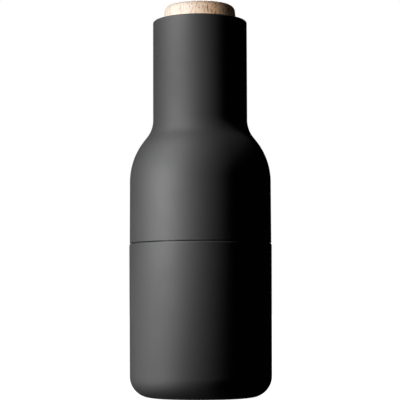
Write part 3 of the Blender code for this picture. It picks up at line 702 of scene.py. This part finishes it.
def upper_shell():
    seam_r = radius_of("upper_shell")
    low, top = heights_of("upper_shell")
    low += UPPER_EDGE_SHIFT
    flange_z = top - RIM_THICKNESS
    outline = arc(MOUTH_R + MOUTH_EDGE_R, top - MOUTH_EDGE_R, MOUTH_EDGE_R, 180, 90, 6)
    outline += arc(NECK_TOP_R - RIM_R, top - RIM_R, RIM_R, 90, 0, 12)
    outline += shoulder(0.0, 28)
    outline += eased_edge(seam_r, low, *UPPER_EDGE, side=-1)
    outline += [(UPPER_INNER_R, low), (UPPER_INNER_R, SHOULDER_Z - 1.0)]
    outline += shoulder(WALL, 14)[-2::-1]
    outline += [(NECK_BORE_R, TAB_Z[0]), (NECK_BORE_R, flange_z), (MOUTH_R, flange_z)]
    shell = turned("upper_shell_coated", outline, SHELL_STEPS, closed=True)
    cut(shell, *bars(MOUTH_R, TAB_TIP_R + 0.4, TAB_WIDTH + 2 * GAP, *TAB_Z))
    place(shell, "upper_half", ["upper_shell"], "soft_touch_shell", SOFT_TOUCH)


def coupling_collar():
    """The ring that centres the halves, with its seal's groove and a funnelled top."""
    outer = radius_of("coupling_collar")
    low, top = heights_of("coupling_collar")
    ring_low, ring_high = heights_of("seal_ring")
    groove_low, groove_high = ring_low - 0.4, ring_high + 0.4
    lower_r, inner_r, groove_depth = 33.0, 30.8, 1.2
    step_z = heights_of("reservoir_cup")[1] + GAP
    corners = [
        (outer, top, 0.3),
        (outer, step_z, 0.2),
        (lower_r, step_z, 0.2),
        (lower_r, groove_high, 0.15),
        (lower_r - groove_depth, groove_high, 0.15),
        (lower_r - groove_depth, groove_low, 0.15),
        (lower_r, groove_low, 0.15),
        (lower_r, low, 0.8),
        (inner_r, low, 0.4),
        (inner_r, top - 3.5, 1.2),
        (outer - 0.8, top, 0.25),
    ]
    collar = turned("coupling_collar_moulded", rounded(corners, 4, closed=True), closed=True)
    place(collar, "upper_half", ["coupling_collar"], "smoke_plastic", SMOKE)


def seal(node, body):
    """A round silicone ring."""
    outer = radius_of(node)
    low, high = heights_of(node)
    wire_r = (high - low) / 2
    centre_r, centre_z = outer - wire_r, (low + high) / 2
    section = arc(centre_r, centre_z, wire_r, 90, -255, 23)
    ring = turned(f"{node}_moulded", section, INNER_STEPS, closed=True)
    place(ring, body, [node], "seal_silicone", SILICONE)


def mill_housing():
    """The burrs' carrier: a pocket for the lid, a deck with graded dots, tabs and slots."""
    outer = radius_of("bearing_bridge")
    low, top = heights_of("mill_housing")
    pocket_r, seat_r, outlet_r, deck_z, deck_thickness = 19.2, 17.4, 14.7, 187.0, 1.8
    dot_count, dot_circle_r, dot_height = 7, 16.9, 0.2
    slot_r, slot_width, slot_z = LUG_TIP_R + GAP, LUG_WIDTH + 2 * GAP, LUG_Z + GAP
    corners = [
        (pocket_r, top, 0.3),
        (outer, top, 0.3),
        (outer, low, 0.3),
        (seat_r, low, 0.2),
        (seat_r, deck_z - deck_thickness, 0.1),
        (outlet_r, deck_z - deck_thickness, 0.2),
        (outlet_r, deck_z, 0.5),
        (pocket_r, deck_z, 0.3),
    ]
    housing = turned("mill_housing_moulded", rounded(corners, 4, closed=True), closed=True)
    tabs = bars(outer - 2.0, TAB_TIP_R, TAB_WIDTH, TAB_Z[0] + GAP, TAB_Z[1] - GAP, bevel=0.2)
    dots = []
    for i in range(dot_count):
        outline = ring_of(0.25 + 0.07 * i, around(dot_circle_r, 60.0 + 10.0 * i), 20)
        dots.append(prism(f"dot_{i}", outline, deck_z - 0.5, deck_z + dot_height, bevel=0.08))
    join(housing, *tabs, *dots)
    slots = bars(outlet_r, slot_r, slot_width, low - OVERCUT, slot_z)
    circle_r, bottom = BRIDGE_SCREW_CIRCLE_R, low - OVERCUT
    pilots = holes(BRIDGE_SCREW_HOLE_R, circle_r, SCREW_ANGLES, bottom, BRIDGE_SCREW_PILOT_Z)
    cut(housing, *slots, *pilots)
    place(housing, "upper_half", ["mill_housing"], "black_nylon", NYLON)


# ---------------------------------------------------------------- the burrs

# Crest lines of the teeth, as (height, radius)
INNER_BURR_LINE = ((166.0, 7.6), (166.8, 8.1), (171.0, 9.1), (175.0, 10.2), (184.4, 13.2))
OUTER_BURR_LINE = ((165.6, 14.6), (169.0, 13.6), (175.0, 10.65), (184.9, 13.81))
TOOTH_LEVELS = 56
TOOTHED = 2000.0  # stands for a radius that the teeth decide

# The share of a tooth that its long flank takes, and the heights over which teeth fade
COARSE_FLANK = 0.75
FINE_FLANK = 0.6
COARSE_FADE_Z = (176.5, 181.5)
FINE_FADE_Z = (175.0, 177.0)


def saw(turn, flank):
    """A tooth's height, from 0 to 1, at a share of its pitch: a long flank and a steep one."""
    return np.where(turn < flank, turn / flank, (1.0 - turn) / (1.0 - flank))


def teeth(line, coarse, coarse_depth, fine, fine_depth, twist, outward):
    """Relief for a burr: deep coarse teeth low down, which give way to shallow fine ones.

    The valleys lie inside the crest line, or outside it when outward is true. twist is the
    teeth's lean, in degrees to the millimetre.
    """
    line_z, line_r = np.array(line).T
    side = 1.0 if outward else -1.0

    def relief(radius, height, angle):
        crest = np.interp(height, line_z, line_r)
        turn = angle / math.tau - twist * (height - line_z[0]) / 360.0
        coarse_ridge = saw((turn * coarse) % 1.0, COARSE_FLANK)
        fine_ridge = saw((turn * fine) % 1.0, FINE_FLANK)
        coarse_part = 1.0 - share(height, *COARSE_FADE_Z)
        fine_part = share(height, *FINE_FADE_Z)
        valley = coarse_depth * coarse_part * (1.0 - coarse_ridge)
        valley = np.maximum(valley, fine_depth * fine_part * (1.0 - fine_ridge))
        foot = np.clip((height - line_z[0]) / 1.5, 0.25, 1.0)
        return np.where(radius > TOOTHED / 2, crest + side * valley * foot, radius)

    return relief


def inner_burr():
    """The cone: nine coarse teeth that run into 36 fine ones, on the shaft's hexagon."""
    low, top = heights_of("inner_burr")
    coarse, fine, steps_per_tooth = 9, 36, 10
    pocket_r, pocket_z = 5.9, 172.0
    levels = np.linspace(top, low, TOOTH_LEVELS)
    outline = [(0.0, top), *[(TOOTHED, z) for z in levels], (0.0, low)]
    relief = teeth(INNER_BURR_LINE, coarse, 2.0, fine, 0.65, 4.2, outward=False)
    burr = turned("inner_burr_ceramic", outline, fine * steps_per_tooth, relief=relief)
    bore = prism("bore", hexagon(SHAFT_SOCKET_FLATS), low - OVERCUT, top + OVERCUT)
    pocket = prism("pocket", ring_of(pocket_r, sides=64), low - OVERCUT, pocket_z)
    cut(burr, bore, pocket)
    place(burr, "burr_carrier", ["inner_burr"], "burr_ceramic", CERAMIC)


def outer_burr():
    """The ring: twelve coarse teeth that run into 48 fine ones, and three lugs outside."""
    outer, edge = 17.1, 0.3
    low, top = heights_of("outer_burr")
    coarse, fine, steps_per_tooth = 12, 48, 8
    levels = np.linspace(low, top, TOOTH_LEVELS)
    outline = [
        (outer - edge, top),
        (outer, top - edge),
        (outer, low + edge),
        (outer - edge, low),
        *[(TOOTHED, z) for z in levels],
    ]
    relief = teeth(OUTER_BURR_LINE, coarse, 1.5, fine, 0.6, -1.8, outward=True)
    steps = fine * steps_per_tooth
    burr = turned("outer_burr_ceramic", outline, steps, closed=True, relief=relief)
    join(burr, *bars(outer - 1.2, LUG_TIP_R, LUG_WIDTH, low, LUG_Z, bevel=0.2))
    place(burr, "upper_half", ["outer_burr"], "burr_ceramic", CERAMIC)


# ---------------------------------------------------------------- the bearing and shaft


def bearing_bridge():
    """A ring with a lip for the outer burr, and three arms to the hub of the bush."""
    outer = radius_of("bearing_bridge")
    hub_low, lip = heights_of("bearing_bridge")
    low, deck_z = 157.6, 163.3
    lip_r, foot_r, inner_r = 17.1, 16.8, 15.6
    hub_r, hub_top, bore_r = 7.5, 160.6, 5.2
    arm_width, arm_low, arm_top = 4.0, 156.0, 160.0
    ring = [
        (lip_r, lip, 0.2),
        (lip_r, deck_z, 0.1),
        (outer, deck_z, 0.3),
        (outer, low, 0.3),
        (foot_r, low, 0.5),
        (inner_r, low + foot_r - inner_r, 0.5),
        (inner_r, lip, 0.2),
    ]
    bridge = turned("bearing_bridge_moulded", rounded(ring, 4, closed=True), closed=True)
    hub_corners = [(0.0, hub_top), (hub_r, hub_top, 0.3), (hub_r, hub_low, 0.8), (0.0, hub_low)]
    hub = turned("hub", rounded(hub_corners), SMALL_STEPS)
    arms = bars(hub_r - 1.2, foot_r, arm_width, arm_low, arm_top, bevel=0.6)
    join(bridge, hub, *arms)
    below, above = hub_low - OVERCUT, lip + OVERCUT
    bore = prism("bore", ring_of(bore_r, sides=64), below, above)
    through = holes(BRIDGE_SCREW_HOLE_R, BRIDGE_SCREW_CIRCLE_R, SCREW_ANGLES, below, above)
    cut(bridge, bore, *through)
    place(bridge, "upper_half", ["bearing_bridge"], "black_nylon", NYLON)


def shaft_bush():
    """A thin sleeve with a flange that rests on the bridge's hub."""
    flange = radius_of("shaft_bush")
    low, top = heights_of("shaft_bush")
    sleeve_r, bore_r, flange_z = 4.9, 3.8, 160.9
    corners = [
        (flange, top, 0.2),
        (flange, flange_z, 0.15),
        (sleeve_r, flange_z, 0.1),
        (sleeve_r, low, 0.3),
        (bore_r, low, 0.2),
        (bore_r, top, 0.25),
    ]
    bush = turned("shaft_bush_moulded", rounded(corners, 4, True), SMALL_STEPS, closed=True)
    place(bush, "upper_half", ["shaft_bush"], "acetal_bush", ACETAL)


def washer(node, body, inner_r):
    """A stamped washer with its edges broken."""
    outer = radius_of(node)
    low, top = heights_of(node)
    edge = (top - low) * 0.25
    corners = [(outer, top, edge), (outer, low, edge), (inner_r, low, edge), (inner_r, top, edge)]
    ring = turned(f"{node}_stamped", rounded(corners, 3, True), SMALL_STEPS, closed=True)
    place(ring, body, [node], "plated_steel", ZINC)


def drive_shaft():
    """Hexagonal bar with chamfered ends, a clip groove and a threaded top."""
    low, top = heights_of("drive_shaft")
    hex_top, thread_r, thread_depth, groove_r = 182.0, 2.4, 0.4, 2.5
    foot_chamfer, head_chamfer, tip_chamfer = 1.0, 0.7, 0.5
    shaft = prism("drive_shaft_turned", hexagon(SHAFT_FLATS), low, hex_top)
    barrel_r = SHAFT_FLATS / math.sqrt(3) + 0.05
    ends = [
        (0.0, hex_top + OVERCUT),
        (barrel_r - head_chamfer - OVERCUT, hex_top + OVERCUT),
        (barrel_r, hex_top - head_chamfer),
        (barrel_r, low + foot_chamfer),
        (barrel_r - foot_chamfer - OVERCUT, low - OVERCUT),
        (0.0, low - OVERCUT),
    ]
    keep_inside(shaft, turned("trim", ends, SMALL_STEPS, start=HALF_STEP))
    root = hex_top - 1.0
    outline = [(0.0, top), (thread_r - tip_chamfer, top)]
    outline += dense([(thread_r, top - tip_chamfer), (thread_r, root)], 0.09)
    outline += [(0.0, root)]
    relief = thread(SHAFT_PITCH, thread_depth, hex_top + 0.2, top)
    join(shaft, turned("thread", outline, SMALL_STEPS, relief=relief, start=HALF_STEP / 2))
    clip_low, clip_top = heights_of("shaft_clip")
    groove = [
        (barrel_r + OVERCUT, clip_top + 0.2),
        (barrel_r + OVERCUT, clip_low - 0.2),
        (groove_r, clip_low - 0.2),
        (groove_r, clip_top + 0.2),
    ]
    cut(shaft, turned("groove", groove, SMALL_STEPS, closed=True, start=HALF_STEP))
    place(shaft, "drive_train", ["drive_shaft"], "shaft_aluminium", ALUMINIUM)


def shaft_clip():
    """An E-shaped clip: an open ring with three prongs that reach into the shaft's groove."""
    low, top = heights_of("shaft_clip")
    outer_r, inner_r, prong_r = 5.9, 4.3, 2.85
    first, last, prong_half = 24.0, 336.0, 12.0
    prong_angles = (first + prong_half, 180.0, last - prong_half)
    outer_edge = [around(outer_r, angle) for angle in np.linspace(first, last, 49)]
    inner_edge = []
    for angle in np.linspace(last, first, 97):
        on_prong = min(abs(angle - middle) for middle in prong_angles) < prong_half
        inner_edge.append(around(prong_r if on_prong else inner_r, angle))
    clip = prism("shaft_clip_stamped", outer_edge + inner_edge, low, top, bevel=0.1)
    place(clip, "drive_train", ["shaft_clip"], "spring_steel", SPRING_STEEL)


def burr_spring():
    """A compression spring with closed ends."""
    low, top = heights_of("burr_spring")
    wire_r, turns, per_turn = 0.5, 5.0, 40
    dead_turns, close_pitch = 0.8, 1.25
    coil_r = radius_of("burr_spring") - wire_r
    first, last = low + wire_r, top - wire_r
    ends = (first, first + dead_turns * close_pitch, last - dead_turns * close_pitch, last)
    turns_at_ends = (0.0, dead_turns, turns - dead_turns, turns)
    curve = bpy.data.curves.new("coil", "CURVE")
    curve.dimensions = "3D"
    curve.bevel_depth = wire_r * MM
    curve.bevel_resolution = 4
    curve.use_fill_caps = True
    wire = curve.splines.new("POLY")
    wire.points.add(int(turns * per_turn))
    for i, point in enumerate(wire.points):
        x, y = around(coil_r, 360.0 * i / per_turn)
        height = np.interp(i / per_turn, turns_at_ends, ends)
        point.co = (x * MM, y * MM, height * MM, 1.0)
    path = add_object("coil", curve)
    bpy.context.view_layer.update()
    evaluated = path.evaluated_get(bpy.context.evaluated_depsgraph_get())
    mesh = bpy.data.meshes.new_from_object(evaluated)
    bpy.data.objects.remove(path)
    welded = bmesh.new()
    welded.from_mesh(mesh)
    bmesh.ops.remove_doubles(welded, verts=welded.verts, dist=0.001 * MM)
    welded.to_mesh(mesh)
    welded.free()
    coil = smooth(add_object("burr_spring_coiled", mesh))
    place(coil, "drive_train", ["burr_spring"], "spring_steel", SPRING_STEEL)
    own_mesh(coil)


# ---------------------------------------------------------------- the grind adjuster

NUT_FLATS = 8.0


def stadium(length, width, segments=10):
    """Corners of a bar with round ends, along X."""
    end = length / 2 - width / 2
    corners = []
    for i in range(segments + 1):
        x, y = around(width / 2, -90.0 + 180.0 * i / segments)
        corners.append((end + x, y))
    return corners + [(-x, -y) for x, y in corners]


def adjusting_dial():
    """A lobed knob with a finger bar, an engraved pointer and a pocket for its nut."""
    radius = radius_of("adjusting_dial")
    low, top = heights_of("adjusting_dial")
    rim_top, rim_r, face_r, face_depth = 189.6, 7.6, 7.0, 0.35
    lobes, lobe_depth, lobe_root_r, steps_per_lobe = 16, 0.5, 8.6, 20
    grip_length, grip_width, hole_r = 15.0, 4.4, 2.7
    corners = [
        (0.0, rim_top - face_depth),
        (face_r, rim_top - face_depth, 0.3),
        (rim_r, rim_top, 0.3),
        (radius, rim_top, 0.5),
        (radius, low, 0.4),
        (0.0, low),
    ]
    outline = dense(rounded(corners), 0.6)

    def relief(place_r, height, angle):
        wave = (0.5 - 0.5 * np.cos(lobes * angle)) ** 1.6
        return place_r - lobe_depth * share(place_r, lobe_root_r, lobe_root_r + 1.0) * wave

    dial = turned("adjusting_dial_moulded", outline, lobes * steps_per_lobe, relief=relief)
    grip = stadium(grip_length, grip_width)
    join(dial, prism("grip", grip, rim_top - 1.0, top, bevel=0.6))
    pocket_top = heights_of("dial_nut")[1] + GAP
    pocket = prism("pocket", hexagon(NUT_FLATS + 2 * GAP), low - OVERCUT, pocket_top)
    hole_top = heights_of("drive_shaft")[1] + BURR_TRAVEL + GAP
    hole = prism("hole", ring_of(hole_r, sides=48), low - OVERCUT, hole_top)
    arrow = [(0.0, radius - 0.5), (-0.9, 7.9), (0.9, 7.9)]
    pointer = prism("pointer", arrow, rim_top - 0.4, rim_top + OVERCUT)
    cut(dial, pocket, hole, pointer)
    place(dial, "dial", ["adjusting_dial"], "black_nylon", NYLON)


def dial_nut():
    """A hexagonal nut, chamfered on both faces, with a real thread in its bore."""
    low, top = heights_of("dial_nut")
    bore_r, thread_depth, chamfer = 2.75, 0.3, 0.35
    face_r, point_r = NUT_FLATS / 2 - 0.05, NUT_FLATS / math.sqrt(3) + 0.1
    nut = prism("dial_nut_tapped", hexagon(NUT_FLATS), low, top)
    barrel = [
        (0.0, top),
        (face_r, top),
        (point_r, top - chamfer),
        (point_r, low + chamfer),
        (face_r, low),
        (0.0, low),
    ]
    keep_inside(nut, turned("barrel", barrel, SMALL_STEPS))
    above, below = top + 0.5, low - 0.5
    outline = [(0.0, above), *dense([(bore_r, above), (bore_r, below)], 0.09), (0.0, below)]
    relief = thread(SHAFT_PITCH, -thread_depth, low - 2.0, top + 2.0)
    cut(nut, turned("tap", outline, SCREW_STEPS, relief=relief))
    place(nut, "dial", ["dial_nut"], "plated_steel", ZINC)


# ---------------------------------------------------------------- the lid

LID_PIECE = "lid_cap_turned"
LID_TOP_R = 18.55
LID_EDGE_R = 3.15
LID_SCREW_CIRCLE_R = 12.0
LID_SCREW_HOLE_R = 1.2
LID_SCREW_PILOT_Z = 200.5


def lid_cap():
    """The wooden disc: its side tapers a little to a wide round edge, with three pilots below."""
    radius = radius_of("lid_cap")
    low, top = heights_of("lid_cap")
    edge, foot_edge = LID_EDGE_R, 0.5
    top_edge = arc(LID_TOP_R - edge, top - edge, edge, 90, 0, 16)
    outline = [(0.0, top)]
    outline += dense([(6.0, top), *top_edge], 3.0)
    outline += [(radius, low + foot_edge)]
    outline += arc(radius - foot_edge, low + foot_edge, foot_edge, 0, -90, 5)
    outline += [(0.0, low)]
    cap = turned(LID_PIECE, outline, SHELL_STEPS)
    bottom, circle_r = low - OVERCUT, LID_SCREW_CIRCLE_R
    cut(cap, *holes(LID_SCREW_HOLE_R, circle_r, TAB_ANGLES, bottom, LID_SCREW_PILOT_Z))
    place(cap, "lid", ["lid_cap"], "beech_lid", BEECH)


def lid_plug():
    """The plug under the cap: a skirt with its seal's groove, and six stiffening webs."""
    outer = radius_of("lid_plug")
    low, top = heights_of("lid_plug")
    seal_low, seal_top = heights_of("lid_seal")
    groove_r = radius_of("lid_seal") - (seal_top - seal_low) - GAP
    plate, inner, web_r, web_width = 192.3, 15.4, 13.6, 0.9
    corners = [
        (0.0, top),
        (outer, top, 0.5),
        (outer, seal_top + GAP, 0.12),
        (groove_r, seal_top + GAP, 0.12),
        (groove_r, seal_low - GAP, 0.12),
        (outer, seal_low - GAP, 0.12),
        (outer - 0.15, low + 1.4, 0.3),
        (outer - 0.6, low, 0.3),
        (inner, low, 0.3),
        (inner, plate, 0.4),
        (0.0, plate),
    ]
    plug = turned("lid_plug_moulded", rounded(corners, 4))
    webs = []
    for i in range(6):
        corners = bar(web_r, inner + 0.5, web_width, 60.0 * i)
        webs.append(prism(f"web_{i}", corners, low + 2.4, plate + 0.5, bevel=0.1))
    join(plug, *webs)
    below, above = plate - OVERCUT, top + OVERCUT
    cut(plug, *holes(LID_SCREW_HOLE_R, LID_SCREW_CIRCLE_R, TAB_ANGLES, below, above))
    place(plug, "lid", ["lid_plug"], "black_nylon", NYLON)


# ---------------------------------------------------------------- camera, light and floor

# The camera looks a little upwards from low on the mill's front
CAMERA_DISTANCE = 761.1
CAMERA_HEIGHT = 44.6
CAMERA_SIDE = -0.212
CAMERA_PITCH = 4.357
CAMERA_ROLL = 0.164
CAMERA_LENS = 131.44

# Soft panels: azimuth (0 is the front, 90 the right), distance, height, size, aim height, power
BODY_PANELS = {
    "high_key": (-59.6, 196.1, 306.7, (20.0, 200.0), 40.0, 0.208),
    "upper_key": (-54.2, 147.4, 263.5, (42.7, 22.7), 200.0, 0.244),
    "middle_key": (-49.5, 130.0, 111.2, (20.0, 73.5), 75.4, 0.171),
    "low_key": (-61.4, 157.3, 15.0, (20.0, 128.4), 164.7, 0.185),
    "base_key": (-103.2, 130.0, 15.0, (20.0, 104.3), 40.0, 0.023),
}
LID_PANELS = {
    "lid_key": (-45.0, 300.0, 190.0, (150.0, 60.0), 195.0, 1.29),
    "lid_fill": (45.0, 300.0, 190.0, (100.0, 60.0), 195.0, 0.012),
    "lid_top": (180.0, 400.0, 470.0, (100.0, 160.0), 205.0, 2.0),
}
BACK_PANELS = {
    "back_panel": (180.0, 600.0, 200.0, (120.0, 300.0), 100.0, 3.6),
}
# Overhead light on the floor: only the shadow light is stopped by the mill
FLOOR_ENERGY = 3.45
SHADOW_ENERGY = 0.4
OVERHEAD_ANGLE = 60.0
FLOOR_R = 20000.0
FLOOR_STEPS = 64
AMBIENT = 0.005


def collection_of(name, *objects):
    made = bpy.data.collections.new(name)
    for obj in objects:
        made.objects.link(obj)
    return made


def add_panel(name, azimuth, distance, height, size, aim_height, power):
    """A soft rectangular light, which faces the mill's axis at its aim height."""
    data = bpy.data.lights.new(name, "AREA")
    data.shape = "RECTANGLE"
    data.size, data.size_y = size[0] * MM, size[1] * MM
    data.energy = power
    obj = add_object(name, data)
    x, y = around(distance, azimuth - 90.0)
    obj.location = Vector((x, y, height)) * MM
    target = Vector((0.0, 0.0, aim_height)) * MM
    obj.rotation_euler = (target - obj.location).to_track_quat("-Z", "Y").to_euler()
    obj.visible_camera = False
    return obj


def add_world():
    """White as the camera sees it, and a dim even grey for everything else."""
    world = bpy.data.worlds.new("studio")
    world.use_nodes = True
    tree = world.node_tree
    seen = tree.nodes["Background"]
    seen.inputs["Color"].default_value = (1.0, 1.0, 1.0, 1.0)
    ambient = tree.nodes.new("ShaderNodeBackground")
    ambient.inputs["Color"].default_value = (1.0, 1.0, 1.0, 1.0)
    ambient.inputs["Strength"].default_value = AMBIENT
    path = tree.nodes.new("ShaderNodeLightPath")
    blend = tree.nodes.new("ShaderNodeMixShader")
    tree.links.new(path.outputs["Is Camera Ray"], blend.inputs[0])
    tree.links.new(ambient.outputs[0], blend.inputs[1])
    tree.links.new(seen.outputs[0], blend.inputs[2])
    tree.links.new(blend.outputs[0], tree.nodes["World Output"].inputs["Surface"])
    bpy.context.scene.world = world


def add_floor():
    """A wide pale floor, which shows the mill's contact shadow and doesn't light it."""
    look = Look("pale_floor", Specular_IOR_Level=0.1)
    cloud = look.noise(look.stretched(0.01, 0.01, 0.01), detail=2.0)
    look.paint("Base Color", look.mix(cloud, (0.93, 0.93, 0.93), (0.95, 0.95, 0.95)))
    look.paint("Roughness", look.span(cloud, 0.3, 0.7, 0.8, 0.9))
    floor = turned("floor", [(0.0, 0.0), (FLOOR_R, 0.0)], FLOOR_STEPS)
    floor.data.flip_normals()
    floor.data.materials.append(look.material)
    floor.visible_diffuse = False
    floor.visible_glossy = False
    floor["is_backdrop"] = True


def add_lights():
    """Panels for the coated pieces, the lid and the back, and overhead light for the floor."""
    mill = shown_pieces()
    wood = [piece for piece in mill if piece.name == LID_PIECE]
    coated = [piece for piece in mill if piece.name != LID_PIECE]
    blockers = collection_of("mill", *mill)
    sets = ((BODY_PANELS, coated), (LID_PANELS, wood), (BACK_PANELS, mill))
    for number, (panels, receivers) in enumerate(sets):
        lit = collection_of(f"lit_{number}", *receivers)
        for name, settings in panels.items():
            linking = add_panel(name, *settings).light_linking
            linking.receiver_collection = lit
            linking.blocker_collection = blockers
    floor = collection_of("lit_floor", bpy.data.objects["floor"])
    for name, energy in (("floor_light", FLOOR_ENERGY), ("shadow_light", SHADOW_ENERGY)):
        data = bpy.data.lights.new(name, "SUN")
        data.energy = energy
        data.angle = math.radians(OVERHEAD_ANGLE)
        linking = add_object(name, data).light_linking
        linking.receiver_collection = floor
        if name == "floor_light":
            linking.blocker_collection = floor
    add_world()
    bpy.context.scene.view_settings.view_transform = "Standard"


def add_camera():
    data = bpy.data.cameras.new("camera")
    data.sensor_width = 36.0
    data.lens = CAMERA_LENS
    data.clip_start = 0.05
    data.clip_end = 60.0
    camera = add_object("camera", data)
    camera.location = Vector((CAMERA_SIDE, -CAMERA_DISTANCE, CAMERA_HEIGHT)) * MM
    tilt = Matrix.Rotation(math.radians(90.0 + CAMERA_PITCH), 4, "X")
    roll = Matrix.Rotation(math.radians(-CAMERA_ROLL), 4, "Z")
    camera.rotation_euler = (tilt @ roll).to_euler()
    bpy.context.scene.camera = camera


lower_shell()
foot_pad()
reservoir_cup()
drive_post()
screw_set("base_screw", "lower_half", 1.25, 1.4, 0.9)
upper_shell()
coupling_collar()
seal("seal_ring", "upper_half")
mill_housing()
inner_burr()
outer_burr()
bearing_bridge()
screw_set("bridge_screw", "upper_half", 1.1, 1.3, 0.8)
shaft_bush()
washer("thrust_washer", "upper_half", 3.8)
washer("spring_seat", "drive_train", 3.8)
washer("adjust_washer", "burr_carrier", 2.75)
drive_shaft()
shaft_clip()
burr_spring()
adjusting_dial()
dial_nut()
lid_cap()
lid_plug()
seal("lid_seal", "lid")
screw_set("lid_screw", "lid", 0.9, 1.2, 0.7)
add_floor()
add_lights()
add_camera()
